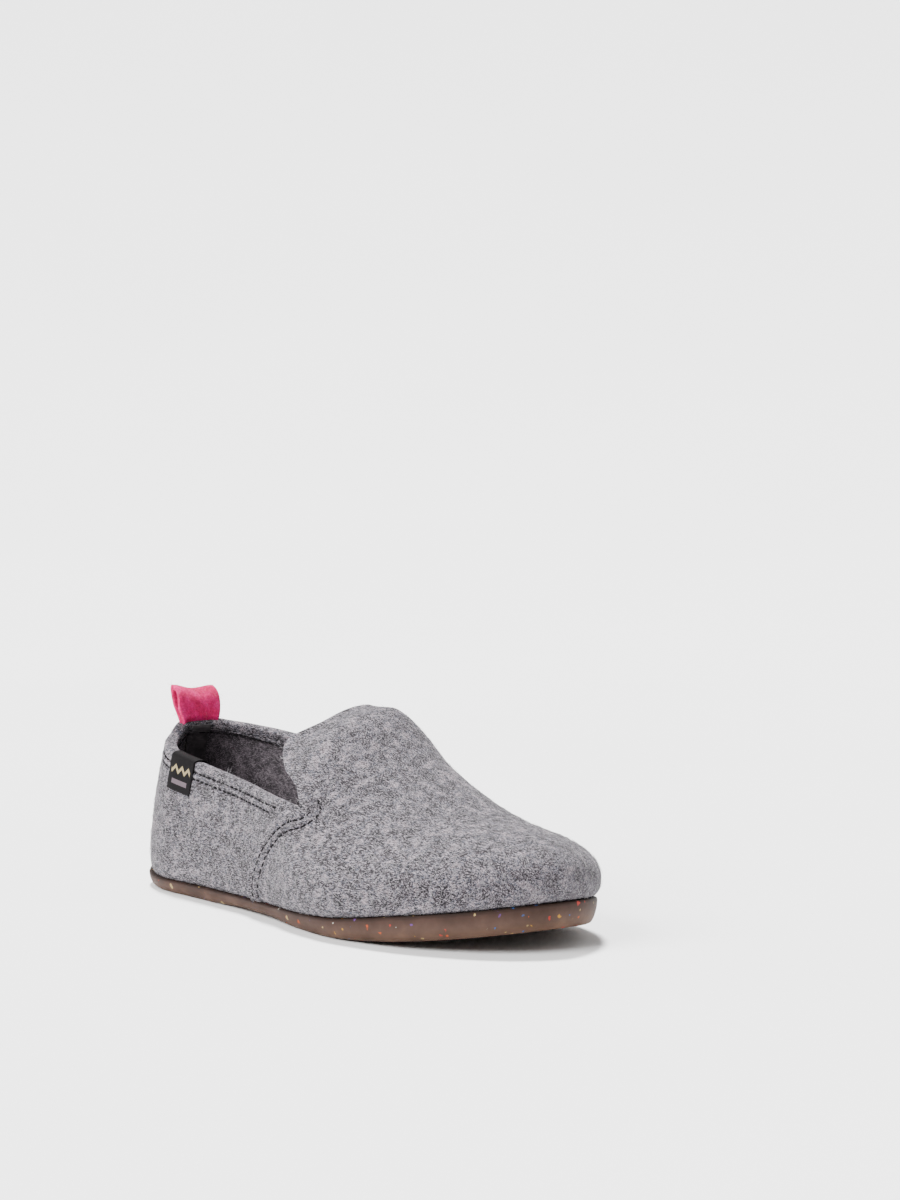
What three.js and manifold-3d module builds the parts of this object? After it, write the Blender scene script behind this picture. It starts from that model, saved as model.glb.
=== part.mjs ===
// A right-foot felt house slipper as an assembly: rubber outsole, felt insole, one hollow felt upper, a pull
// loop sewn into the heel's hem, and a folded edge label. The upper's vamp runs up into a tongue and laps over
// the quarters. Millimetres, +Z up, +X to the toe, +Y to the inner (big toe) side. Lengths run from the heel's
// back while the pieces are made. The finished group then stands on z = 0, the middle of its box over the
// origin.
import * as THREE from "three";
import { mergeVertices } from "three/addons/utils/BufferGeometryUtils.js";
import Module from "manifold-3d";

const wasm = await Module();
wasm.setup();

// Sole sizes
const soleLength = 256;
const ballWidth = 99;
const heelEndThick = 8.2; // the sole cups up round the very back
const heelSideThick = 5.3;
const waistSideThick = 5.6;
const ballSideThick = 7.2;
const toeSideThick = 9.6;
const toeSpring = 9.5; // how high the toe's underside is off the floor
const waistLift = 0.9; // how far the underside is hollowed between heel and ball
const waist = { from: 0.28, deep: 0.38, until: 0.46, to: 0.56 }; // where that hollow starts and ends
const soleTaper = 3; // how far the underside's edge lies inside the top edge
const toeSwing = 1; // the toe's tip lies this far to the inner side of the heel's centre line

// Upper sizes
const wall = 3.2; // felt with its lining
const hemWall = 5.2; // the folded and stitched edge
const hemDepth = 9;
const hemFade = { from: 0.7, to: 1.2 }; // the wall thins to its own thickness between these shares of the depth
const featherInset = 1; // the upper's foot lies this far inside the sole's top edge
const feltBulge = 4.2; // how far the felt bellies out past its foot, at the toe
const bellyHeight = 13;
const heelHeight = 61.5; // collar above the sole, at the back seam
const notchHeight = 40.5; // collar above the sole, where it meets the vamp
const instepHeight = 72; // top of the tongue above the sole
const noseHeight = 11; // height of the toe's blunt front
const heelLean = 11; // the back leans this far in at the collar
const leanPower = 1.6; // how much of that lean comes near the collar
const lapRise = 1.4; // step of the vamp's edge on the quarter
const lapDepth = 13; // the step has faded out this far from the edge
const heelReach = 0.25; // the back's lean and the toe's overhang fade out over these shares of the length
const toeReach = 0.2;
const gap = 0.3; // clearance between pieces

// Insole, pull loop and label
const insoleThick = 4;
const insoleRound = 1;
const loopWidth = 21;
const loopThick = 2;
const loopRise = 16; // above the collar
const loopDepth = 8.4; // from the loop's front to its back
const loopCrotch = 2.6; // the two legs part this far above the collar
const crotchRound = 0.5;
const loopTail = 2.2; // both legs together, pressed in the hem
const loopTailDepth = 7;
const tailTop = 0.6; // the pressed tail ends this far above the collar
const loopLean = 7.4;
const loopLeanPower = 1.3; // how much of that lean comes near its top
const loopTilt = 1.5; // its inner end is this much lower
const loopWave = 0.7; // its top edge rises this much at both ends
const loopSettle = 0.45; // share of its height over which it leaves the collar's curve
const loopBow = { low: 0.6, knee: 0.5, high: 1.45 }; // pull of its side curve, as shares of its depth and rise
const labelLength = 18;
const labelDrop = 13.6; // outside the hem
const labelTuck = 8; // inside the hem
const labelThick = 0.6;
const labelGap = 0.5;
const labelAt = 43.5; // from the back seam to the label's near edge, along the collar
const labelRows = [1, 0.75, 0.5, 0.25]; // its rows of points, as shares of its drop

// Lines of the upper, as shares of its length
const notchAt = 0.56;
const seamFootAt = 0.427;
const tongueAt = 0.44;
const tongueFootAt = 0.7;
const tongueWaistAt = 0.64;
const seamCurve = 1.7; // how late the seam swings forward on its way up
const quarterWaist = 0.6; // at the back seam the columns' two pieces meet at this share of the height
const ridgeSpread = 0.9; // below 1, the ridge's columns lean to the toe
const springStart = 0.62; // where the toe starts to lift, as a share of the sole's length

// Mesh fineness
const quarterColumns = 22;
const tongueColumns = 14;
const ridgeColumns = 22;
const lowerRows = [0, 0.08, 0.18, 0.31, 0.46, 0.62, 0.8, 1];
const upperRows = [0.17, 0.34, 0.5, 0.65, 0.79, 0.9, 1];
const soleStations = 44;
const loopStations = 8;
const loopPoints = 8;
const labelStations = 6;

const OUTER = -1;
const INNER = 1;

// Plan outline: half widths of each side as shares of the ball's half width
const outline = [
  { at: 0.0, outer: 0.65, inner: 0.65 },
  { at: 0.17, outer: 0.67, inner: 0.66 },
  { at: 0.34, outer: 0.72, inner: 0.65 },
  { at: 0.48, outer: 0.81, inner: 0.72 },
  { at: 0.6, outer: 0.94, inner: 0.86 },
  { at: 0.7, outer: 1.0, inner: 0.97 },
  { at: 0.78, outer: 1.0, inner: 1.0 },
  { at: 1.0, outer: 1.0, inner: 1.0 },
];
const heelRound = { reach: 0.165, power: 2.05 };
const toeRound = { [OUTER]: { reach: 0.33, power: 2 }, [INNER]: { reach: 0.25, power: 2 } };
const ridgeRound = { reach: 0.13, power: 2 };

// Sections of the last. rise: ridge height as a share of the instep's; shift: the ridge's offset to the inner
// side, as a share of the ball's half width; shoulder: how much wider it is half-way up than an ellipse;
// square: how rounded (1) or boxy (less) it is; belly: bulge above the sole, as a share of the toe's
const sections = [
  { at: 0.0, rise: 1.61, shift: 0.0, shoulder: -0.03, square: 1.0, belly: 0.3 },
  { at: 0.15, rise: 1.46, shift: 0.04, shoulder: -0.02, square: 1.0, belly: 0.3 },
  { at: 0.3, rise: 1.22, shift: 0.18, shoulder: 0.05, square: 0.98, belly: 0.45 },
  { at: 0.46, rise: 1.045, shift: 0.36, shoulder: 0.19, square: 0.95, belly: 0.65 },
  { at: 0.5, rise: 1.05, shift: 0.36, shoulder: 0.16, square: 0.95, belly: 0.7 },
  { at: 0.53, rise: 1.015, shift: 0.35, shoulder: 0.13, square: 0.95, belly: 0.75 },
  { at: 0.6, rise: 0.82, shift: 0.29, shoulder: 0.08, square: 0.94, belly: 0.85 },
  { at: 0.7, rise: 0.625, shift: 0.21, shoulder: 0.05, square: 0.93, belly: 0.95 },
  { at: 0.8, rise: 0.478, shift: 0.13, shoulder: 0.04, square: 0.89, belly: 1.0 },
  { at: 0.92, rise: 0.382, shift: 0.05, shoulder: 0.04, square: 0.85, belly: 1.0 },
  { at: 1.0, rise: 0.345, shift: 0.0, shoulder: 0.04, square: 0.85, belly: 1.0 },
];

// Collar height of each side from the back seam (1) down to the notch (0)
const collar = [
  { at: 0.0, outer: 1.0, inner: 1.0 },
  { at: 0.012, outer: 0.99, inner: 1.0 },
  { at: 0.05, outer: 0.77, inner: 0.96 },
  { at: 0.12, outer: 0.68, inner: 0.92 },
  { at: 0.18, outer: 0.61, inner: 0.88 },
  { at: 0.26, outer: 0.52, inner: 0.84 },
  { at: 0.36, outer: 0.435, inner: 0.79 },
  { at: 0.66, outer: 0.225, inner: 0.465 },
  { at: 1.0, outer: 0.0, inner: 0.0 },
];

// The tongue's edge from the notch to its top. back: way run to the top's place in length; over: in turn
const tongueEdge = [
  { at: 0.0, back: 0.0, over: 0.0 },
  { at: 0.28, back: 0.83, over: 0.17 },
  { at: 0.5, back: 1.2, over: 0.34 },
  { at: 0.72, back: 1.0, over: 0.62 },
  { at: 1.0, back: 1.0, over: 1.0 },
];

// Side thickness of the sole from heel to toe
const thickness = [
  { at: 0.0, side: heelEndThick },
  { at: 0.03, side: (heelEndThick + heelSideThick) / 2 },
  { at: 0.1, side: heelSideThick },
  { at: 0.25, side: waistSideThick },
  { at: 0.45, side: waistSideThick },
  { at: 0.66, side: ballSideThick },
  { at: 0.86, side: toeSideThick },
  { at: 1.0, side: toeSideThick },
];

// The sole's side from its top edge down. down: share of its thickness; inset: share of its taper
const soleSide = [
  { down: 0, inset: 0 },
  { down: 0.3, inset: 0.08 },
  { down: 0.6, inset: 0.3 },
  { down: 0.82, inset: 0.58 },
  { down: 0.95, inset: 0.88 },
  { down: 1, inset: 1.3 },
];

// Value of a table's column at a share of the length, on a smooth curve that doesn't overshoot.
function along(table, column, at) {
  const last = table.length - 1;
  const slope = (i) => (table[i + 1][column] - table[i][column]) / (table[i + 1].at - table[i].at);
  const tangent = (i) => {
    if (i === 0 || i === last) return i ? slope(last - 1) : slope(0);
    const before = slope(i - 1);
    const after = slope(i);
    return before * after <= 0 ? 0 : (2 * before * after) / (before + after);
  };
  let i = 0;
  while (i < last - 1 && at > table[i + 1].at) i++;
  const span = table[i + 1].at - table[i].at;
  const t = THREE.MathUtils.clamp((at - table[i].at) / span, 0, 1);
  const a = table[i][column];
  const b = table[i + 1][column];
  const rise = tangent(i) * span;
  const fall = tangent(i + 1) * span;
  return a + t * rise + t * t * (3 * (b - a) - 2 * rise - fall) + t * t * t * (2 * (a - b) + rise + fall);
}

function sideName(side) {
  return side === OUTER ? "outer" : "inner";
}

// 1 along the middle, falling to 0 at an end like a superellipse's quarter.
function endRound(distance, { reach, power }) {
  if (distance >= reach) return 1;
  return Math.pow(Math.max(0, 1 - Math.pow(1 - distance / reach, power)), 1 / power);
}

function smooth(low, high, value) {
  return THREE.MathUtils.smoothstep(value, low, high);
}

function ends(share, side) {
  return endRound(share, heelRound) * endRound(1 - share, toeRound[side]);
}

function swing(share) {
  return toeSwing * Math.pow(Math.max(0, (share - 0.5) / 0.5), 2);
}

function halfWidth(share, side) {
  return (along(outline, sideName(side), share) * ballWidth) / 2;
}

function lift(share) {
  return toeSpring * Math.pow(Math.max(0, (share - springStart) / (1 - springStart)), 2);
}

function soleBottom(x) {
  const share = THREE.MathUtils.clamp(x / soleLength, 0, 1);
  const hollow = smooth(waist.from, waist.deep, share) * (1 - smooth(waist.until, waist.to, share));
  return lift(share) + waistLift * hollow;
}

function soleTop(x) {
  const share = THREE.MathUtils.clamp(x / soleLength, 0, 1);
  return along(thickness, "side", share) + lift(share);
}

// A point of the upper's outer surface before hems and laps. share runs from the heel to the toe,
// turn from the foot (0) up to the ridge (1).
function lastPoint(share, turn, side) {
  const angle = (turn * Math.PI) / 2;
  const round = ends(share, side);
  const foot = halfWidth(share, side) - featherInset;
  const flat = Math.cos(angle);
  const ridge = along(sections, "rise", share) * instepHeight;
  const tall = noseHeight + (ridge - noseHeight) * endRound(1 - share, ridgeRound);
  const up = tall * Math.pow(Math.sin(angle), along(sections, "square", share));
  const bulge = feltBulge * along(sections, "belly", share);
  const belly = (up / bellyHeight) * Math.exp(1 - up / bellyHeight) * bulge;
  const spread = flat * (1 + along(sections, "shoulder", share) * Math.sin(2 * angle) ** 2);
  const shift = (along(sections, "shift", share) * ballWidth) / 2;
  const y = side * round * (foot * spread + belly * flat) + shift * (1 - flat) + swing(share);
  const heelPull = Math.pow(Math.max(0, 1 - share / heelReach), 2);
  const toePush = Math.pow(Math.max(0, 1 - (1 - share) / toeReach), 2);
  const x =
    featherInset +
    (soleLength - 2 * featherInset) * share +
    heelPull * (heelLean * Math.pow(up / heelHeight, leanPower) - belly) +
    toePush * belly;
  return new THREE.Vector3(x, y, soleTop(x) + gap + up);
}

function normalOn({ share, turn, side }) {
  const s = THREE.MathUtils.clamp(share, 0.0005, 0.9995);
  const t = THREE.MathUtils.clamp(turn, 0.002, 0.99);
  const step = 0.0004;
  const facing = (way) => {
    const forward = lastPoint(s + step, t, way).sub(lastPoint(s - step, t, way));
    const upward = lastPoint(s, t + step, way).sub(lastPoint(s, t - step, way));
    return forward.cross(upward).multiplyScalar(-way).normalize();
  };
  const normal = facing(side);
  const shared = share < 0.001 || share > 0.999 || turn > 0.999;
  if (shared) normal.add(facing(-side)).normalize();
  return normal;
}

// The turn at which a section reaches a height above the sole.
function turnAt(share, height, side) {
  let low = 0;
  let high = 1;
  for (let i = 0; i < 40; i++) {
    const middle = (low + high) / 2;
    const point = lastPoint(share, middle, side);
    if (point.z - soleTop(point.x) - gap < height) low = middle;
    else high = middle;
  }
  return (low + high) / 2;
}

const notchTurn = {
  [OUTER]: turnAt(notchAt, notchHeight, OUTER),
  [INNER]: turnAt(notchAt, notchHeight, INNER),
};

// Columns run from the foot to the opening's edge or the ridge in two pieces, which meet in the middle. In the
// quarters the upper piece shrinks to nothing at the notch, where the vamp's first column has none either.
function quarterColumn(t, side) {
  const ease = 1 - Math.cos((t * Math.PI) / 2);
  const top = notchAt * ease;
  const foot = seamFootAt * ease;
  const height = notchHeight + (heelHeight - notchHeight) * along(collar, sideName(side), ease);
  const turn = turnAt(top, height, side);
  const waistShare = THREE.MathUtils.lerp(quarterWaist, 1, ease);
  const at = (v) => ({ share: foot + (top - foot) * Math.pow(v, seamCurve), turn: turn * v, side });
  return { lower: (u) => at(waistShare * u), upper: (w) => at(waistShare + (1 - waistShare) * w) };
}

function vampColumn(foot, middle, top, turn, side) {
  const low = notchTurn[side];
  return {
    lower: (u) => ({ share: foot + (middle - foot) * Math.pow(u, seamCurve), turn: low * u, side }),
    upper: (w) => ({ share: middle + (top - middle) * w, turn: low + (turn - low) * w, side }),
  };
}

function tongueColumn(t, side) {
  const foot = THREE.MathUtils.lerp(seamFootAt, tongueFootAt, t);
  const middle = THREE.MathUtils.lerp(notchAt, tongueWaistAt, t);
  const top = THREE.MathUtils.lerp(notchAt, tongueAt, along(tongueEdge, "back", t));
  const turn = THREE.MathUtils.lerp(notchTurn[side], 1, along(tongueEdge, "over", t));
  return vampColumn(foot, middle, top, turn, side);
}

function ridgeColumn(t, side) {
  const ease = Math.sin((t * Math.PI) / 2);
  const foot = THREE.MathUtils.lerp(tongueFootAt, 1, ease);
  const middle = THREE.MathUtils.lerp(tongueWaistAt, 1, ease);
  const top = THREE.MathUtils.lerp(tongueAt, 1, Math.pow(ease, ridgeSpread));
  return vampColumn(foot, middle, top, 1, side);
}

function pointOn({ share, turn, side }) {
  return lastPoint(share, turn, side);
}

function placesOn(column) {
  return [...lowerRows.map(column.lower), ...upperRows.map(column.upper)];
}

const shares = (count) => Array.from({ length: count + 1 }, (_, i) => i / count);

// Polylines of the opening's edge and of the lap seam on each side
const edges = {};
const seams = {};
for (const side of [OUTER, INNER]) {
  const collarLine = shares(quarterColumns).map((t) => pointOn(quarterColumn(t, side).upper(1)));
  const tongueLine = shares(tongueColumns).map((t) => pointOn(tongueColumn(t, side).upper(1)));
  edges[side] = [...collarLine, ...tongueLine];
  seams[side] = lowerRows.map(tongueColumn(0, side).lower).map(pointOn);
}

function distanceTo(line, point) {
  let nearest = Infinity;
  const segment = new THREE.Line3();
  const foot = new THREE.Vector3();
  for (let i = 0; i + 1 < line.length; i++) {
    segment.set(line[i], line[i + 1]);
    segment.closestPointToPoint(point, true, foot);
    nearest = Math.min(nearest, foot.distanceTo(point));
  }
  return nearest;
}

function toOpening(point) {
  return Math.min(distanceTo(edges[OUTER], point), distanceTo(edges[INNER], point));
}

// Pairs of outer and inner points up one column. A lapped column lies on the vamp.
function wallColumn(column, lapped) {
  return placesOn(column).map((place, row) => {
    const point = pointOn(place);
    const normal = normalOn(place);
    const thin = smooth(hemDepth * hemFade.from, hemDepth * hemFade.to, toOpening(point));
    const thick = THREE.MathUtils.lerp(hemWall, wall, thin);
    const lap = lapped ? lapRise * (1 - smooth(0, lapDepth, distanceTo(seams[place.side], point))) : 0;
    const outside = point.clone().addScaledVector(normal, lap);
    const inside = point.clone().addScaledVector(normal, -thick);
    if (row === 0) {
      outside.z = point.z;
      inside.z = soleTop(inside.x) + gap;
    }
    return { outside, inside };
  });
}

// Gathers triangles and welds them into a closed mesh.
class Soup {
  constructor() {
    this.points = [];
  }
  triangle(a, b, c) {
    if (a.distanceTo(b) < 1e-3 || b.distanceTo(c) < 1e-3 || c.distanceTo(a) < 1e-3) return;
    for (const p of [a, b, c]) this.points.push(p.x, p.y, p.z);
  }
  quad(a, b, c, d) {
    if (a.distanceTo(c) <= b.distanceTo(d)) {
      this.triangle(a, b, c);
      this.triangle(a, c, d);
    } else {
      this.triangle(a, b, d);
      this.triangle(b, c, d);
    }
  }
  // Faces between two rows of points.
  band(low, high) {
    for (let i = 0; i + 1 < low.length; i++) this.quad(low[i], low[i + 1], high[i + 1], high[i]);
  }
  geometry() {
    const soup = new THREE.BufferGeometry();
    soup.setAttribute("position", new THREE.Float32BufferAttribute(this.points, 3));
    return mergeVertices(soup, 1e-3);
  }
}

function toSolid(geometry) {
  return new wasm.Manifold(
    new wasm.Mesh({
      numProp: 3,
      vertProperties: new Float32Array(geometry.attributes.position.array),
      triVerts: new Uint32Array(geometry.index.array),
    })
  );
}

function toGeometry(solid) {
  const { vertProperties, triVerts } = solid.getMesh();
  const geometry = new THREE.BufferGeometry();
  geometry.setAttribute("position", new THREE.BufferAttribute(vertProperties, 3));
  geometry.setIndex(new THREE.BufferAttribute(triVerts, 1));
  return geometry;
}

function upperGeometry() {
  const soup = new Soup();
  for (const side of [OUTER, INNER]) {
    const walls = [
      ...shares(quarterColumns).map((t) => wallColumn(quarterColumn(t, side), false)),
      ...shares(tongueColumns).map((t) => wallColumn(tongueColumn(t, side), true)),
      ...shares(ridgeColumns).slice(1).map((t) => wallColumn(ridgeColumn(t, side), true)),
    ];
    const open = quarterColumns + 1 + tongueColumns;
    for (let i = 0; i + 1 < walls.length; i++) {
      const [near, far] = side === OUTER ? [walls[i], walls[i + 1]] : [walls[i + 1], walls[i]];
      const skin = (column, face) => column.map((pair) => pair[face]);
      soup.band(skin(far, "outside"), skin(near, "outside"));
      soup.band(skin(near, "inside"), skin(far, "inside"));
      soup.quad(near[0].outside, near[0].inside, far[0].inside, far[0].outside);
      if (i < open) {
        const [a, b] = [near.at(-1), far.at(-1)];
        soup.quad(a.outside, b.outside, b.inside, a.inside);
      }
    }
  }
  return soup.geometry();
}

// A point of the sole's plan outline, moved in by an inset.
function planPoint(w, side, inset) {
  const raw = (v) => {
    const share = (1 - Math.cos(Math.PI * v)) / 2;
    const wide = side * halfWidth(share, side) * ends(share, side);
    return new THREE.Vector2(soleLength * share, wide + swing(share));
  };
  const middle = THREE.MathUtils.clamp(w, 0.001, 0.999);
  const tangent = raw(middle + 0.001).sub(raw(middle - 0.001));
  const inward = new THREE.Vector2(side * tangent.y, -side * tangent.x).normalize();
  if (w === 0) inward.set(1, 0);
  if (w === 1) inward.set(-1, 0);
  return raw(w).addScaledVector(inward, inset);
}

// A flat piece of the sole's outline: rings from its top edge down, closed by a top and a bottom.
function slabGeometry(rings) {
  const soup = new Soup();
  const stations = shares(soleStations);
  const edge = (ring, side) =>
    stations.map((w) => {
      const p = planPoint(w, side, ring.inset);
      return new THREE.Vector3(p.x, p.y, ring.height(p.x));
    });
  for (let i = 0; i + 1 < rings.length; i++) {
    soup.band(edge(rings[i + 1], OUTER), edge(rings[i], OUTER));
    soup.band(edge(rings[i], INNER), edge(rings[i + 1], INNER));
  }
  soup.band(edge(rings[0], OUTER), edge(rings[0], INNER));
  soup.band(edge(rings.at(-1), INNER), edge(rings.at(-1), OUTER));
  return soup.geometry();
}

function outsoleGeometry() {
  return slabGeometry(
    soleSide.map(({ down, inset }) => ({
      inset: soleTaper * inset,
      height: (x) => THREE.MathUtils.lerp(soleTop(x), soleBottom(x), down),
    }))
  );
}

function insoleGeometry() {
  const inset = featherInset + wall + gap;
  return slabGeometry([
    { inset: inset + insoleRound, height: (x) => soleTop(x) + gap + insoleThick },
    { inset, height: (x) => soleTop(x) + gap + insoleThick - insoleRound },
    { inset, height: (x) => soleTop(x) + gap },
  ]);
}

// The rim at a distance along the collar from the back seam, to the inner side where it is positive.
function rimAt(distance) {
  const side = distance < 0 ? OUTER : INNER;
  const fine = 240;
  let run = 0;
  let t = 0;
  let before = pointOn(quarterColumn(0, side).upper(1));
  while (t < 1) {
    const next = pointOn(quarterColumn(t + 1 / fine, side).upper(1));
    const step = next.distanceTo(before);
    if (run + step >= Math.abs(distance)) {
      t += (Math.abs(distance) - run) / step / fine;
      break;
    }
    run += step;
    t += 1 / fine;
    before = next;
  }
  const column = quarterColumn(t, side);
  const edge = pointOn(column.upper(1));
  const up = edge.clone().sub(pointOn(column.upper(0.9))).normalize();
  return { column, edge, up, out: normalOn(column.upper(1)) };
}

// A point beside the hem's middle: out from it, and up from the rim.
function byRim(rim, out, up) {
  return rim.edge
    .clone()
    .addScaledVector(rim.out, out - hemWall / 2)
    .addScaledVector(rim.up, up);
}

const loopStretch = shares(loopStations).map((s) => (0.5 - s) * loopWidth);
const backRim = rimAt(0);

// The loop stands straight above the curved rim: on its way up it moves from the rim's curve onto a line.
function loopPoint(rim, distance, out, up) {
  const point = byRim(rim, out, up);
  if (up <= 0) return point;
  const share = up / loopRise;
  const wave = -loopWave * Math.cos((2 * Math.PI * distance) / loopWidth);
  const crest = wave - loopTilt * (0.5 + distance / loopWidth);
  const straight = byRim(backRim, out, up + crest * share);
  straight.y += distance;
  straight.x -= loopLean * Math.pow(share, loopLeanPower);
  return point.lerp(straight, smooth(0, loopSettle, share));
}

// Half profile of the loop's ring: outer and inner skin of a strap that bows out and closes at the top.
function loopProfile() {
  const half = (loopDepth - loopThick) / 2;
  const top = loopRise - loopThick / 2;
  const bow = new THREE.CubicBezierCurve(
    new THREE.Vector2(loopThick / 2, loopCrotch),
    new THREE.Vector2(half * loopBow.low, loopRise * loopBow.knee),
    new THREE.Vector2(half * loopBow.high, top),
    new THREE.Vector2(0, top)
  );
  const skin = (way) =>
    shares(loopPoints).map((s) => {
      const p = bow.getPoint(s);
      const tangent = bow.getTangent(s);
      return p.add(new THREE.Vector2(tangent.y, -tangent.x).multiplyScalar((way * loopThick) / 2));
    });
  const inner = skin(-1);
  inner[0].set(0, loopCrotch + crotchRound);
  return { outer: skin(1), inner };
}

function mirrored(half) {
  const back = half.map((p) => new THREE.Vector2(-p.x, p.y));
  return [...back, ...half.slice(0, -1).reverse()];
}

function loopGeometry() {
  const soup = new Soup();
  const { outer, inner } = loopProfile();
  const ringOut = mirrored(outer);
  const ringIn = mirrored(inner);
  const leg = (way) => [
    new THREE.Vector2((way * loopTail) / 2, -loopTailDepth),
    new THREE.Vector2((way * loopTail) / 2, tailTop),
    ringOut.at(way < 0 ? 0 : -1),
  ];
  const rims = loopStretch.map(rimAt);
  const place = (points) => rims.map((rim, i) => points.map((p) => loopPoint(rim, loopStretch[i], p.x, p.y)));
  const outside = place([...leg(-1).slice(0, 2), ...ringOut, ...leg(1).slice(0, 2).reverse()]);
  const inside = place(ringIn);
  const legs = [place(leg(-1)), place(leg(1))];
  for (let i = 0; i + 1 < rims.length; i++) {
    soup.band(outside[i], outside[i + 1]);
    soup.band(inside[i + 1], inside[i]);
    soup.quad(outside[i][0], outside[i + 1][0], outside[i + 1].at(-1), outside[i].at(-1));
  }
  for (const end of [0, rims.length - 1]) {
    const ring = outside[end].slice(2, -2);
    const [near, far] = end ? [ring, inside[end]] : [inside[end], ring];
    const [left, right] = end ? [legs[1][end], legs[0][end]] : [legs[0][end], legs[1][end]];
    soup.band(near, far);
    soup.band(right, left);
    soup.triangle(inside[end][0], left.at(-1), right.at(-1));
  }
  return soup.geometry();
}

// The slot in the hem that takes the loop's tail.
function pocketGeometry() {
  const soup = new Soup();
  const half = loopTail / 2 + gap;
  const reach = 1 + (2 * gap) / loopWidth;
  const bottom = -loopTailDepth - gap;
  const top = hemWall; // well clear of the hem's edge
  const corners = [
    [-half, bottom],
    [-half, top],
    [half, top],
    [half, bottom],
  ];
  const rows = loopStretch.map((d) => {
    const rim = rimAt(d * reach);
    return corners.map(([out, up]) => byRim(rim, out, up));
  });
  for (let i = 0; i + 1 < rows.length; i++) {
    soup.band([...rows[i], rows[i][0]], [...rows[i + 1], rows[i + 1][0]]);
  }
  soup.quad(rows[0][3], rows[0][2], rows[0][1], rows[0][0]);
  soup.quad(...rows.at(-1));
  return soup.geometry();
}

function labelGeometry() {
  const soup = new Soup();
  const section = (distance) => {
    const rim = rimAt(distance);
    const top = rim.column.upper(1);
    const height = rim.edge.z - soleTop(rim.edge.x) - gap;
    const skin = (away) => {
      const outside = labelRows.map((drop) => {
        const place = { ...top, turn: turnAt(top.share, height - drop * labelDrop, top.side) };
        return pointOn(place).addScaledVector(normalOn(place), away);
      });
      const out = hemWall / 2 + away;
      return [...outside, byRim(rim, out, away), byRim(rim, -out, away), byRim(rim, -out, -labelTuck)];
    };
    return { near: skin(labelGap), far: skin(labelGap + labelThick) };
  };
  const sectionsAlong = shares(labelStations).map((s) => section(-labelAt - s * labelLength));
  for (let i = 0; i + 1 < sectionsAlong.length; i++) {
    const [a, b] = [sectionsAlong[i], sectionsAlong[i + 1]];
    soup.band(b.far, a.far);
    soup.band(a.near, b.near);
    soup.quad(a.far[0], a.near[0], b.near[0], b.far[0]);
    soup.quad(a.near.at(-1), a.far.at(-1), b.far.at(-1), b.near.at(-1));
  }
  const first = sectionsAlong[0];
  const last = sectionsAlong.at(-1);
  soup.band(first.far, first.near);
  soup.band(last.near, last.far);
  return soup.geometry();
}

const materials = {
  outsole: new THREE.MeshStandardMaterial({ name: "smoky_rubber", color: 0x7d6a5e, roughness: 0.45 }),
  insole: new THREE.MeshStandardMaterial({ name: "charcoal_felt", color: 0x47433f, roughness: 0.95 }),
  upper: new THREE.MeshStandardMaterial({ name: "grey_felt", color: 0x9d999c, roughness: 0.95 }),
  pull_loop: new THREE.MeshStandardMaterial({ name: "pink_felt", color: 0xc84e78, roughness: 0.9 }),
  edge_label: new THREE.MeshStandardMaterial({ name: "black_weave", color: 0x2b2829, roughness: 0.8 }),
};

const pieces = {
  outsole: outsoleGeometry(),
  insole: insoleGeometry(),
  upper: toGeometry(toSolid(upperGeometry()).subtract(toSolid(pocketGeometry()))),
  pull_loop: loopGeometry(),
  edge_label: labelGeometry(),
};

const slipper = new THREE.Group();
for (const [name, geometry] of Object.entries(pieces)) {
  const mesh = new THREE.Mesh(geometry, materials[name]);
  mesh.name = name;
  slipper.add(mesh);
}
const box = new THREE.Box3().setFromObject(slipper);
const middle = box.getCenter(new THREE.Vector3());
slipper.position.set(-middle.x, -middle.y, -box.min.z);

export default slipper;
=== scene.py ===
# %% [markdown]
# # A grey felt slipper
# A right-foot house slipper: thick pressed wool felt, sewn into a shell, on a low cup of smoky rubber.
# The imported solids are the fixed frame. They carry the sizes, the collisions and the weight. Each soft
# solid is too plain to show, so a finer piece stands in its place and rides on the same body.

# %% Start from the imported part
import math

import bmesh
import bpy
import numpy as np
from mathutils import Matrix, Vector


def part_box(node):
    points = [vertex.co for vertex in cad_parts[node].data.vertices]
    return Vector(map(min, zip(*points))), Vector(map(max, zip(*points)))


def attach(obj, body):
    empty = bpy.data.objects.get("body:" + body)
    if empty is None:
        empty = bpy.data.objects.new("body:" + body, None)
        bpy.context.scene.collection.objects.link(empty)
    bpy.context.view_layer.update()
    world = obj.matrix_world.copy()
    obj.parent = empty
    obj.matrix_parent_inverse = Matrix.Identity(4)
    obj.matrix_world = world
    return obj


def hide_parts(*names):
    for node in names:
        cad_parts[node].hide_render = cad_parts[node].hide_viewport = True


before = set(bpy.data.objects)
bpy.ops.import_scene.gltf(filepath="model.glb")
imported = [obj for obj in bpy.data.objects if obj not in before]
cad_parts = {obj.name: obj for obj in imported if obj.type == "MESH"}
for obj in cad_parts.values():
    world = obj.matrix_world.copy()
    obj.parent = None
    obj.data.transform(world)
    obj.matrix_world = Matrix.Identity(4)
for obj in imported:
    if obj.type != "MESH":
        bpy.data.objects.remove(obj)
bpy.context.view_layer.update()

# %% [markdown]
# ## The sizes
# A shoe is made on a last, a wooden foot. Everything here is worked out on that last, in millimetres from
# the back of the heel, with +X to the toe, +Y to the inner side and +Z up. The values are the ones that
# the solids were made with, so both shapes agree without any fitting.

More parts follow.
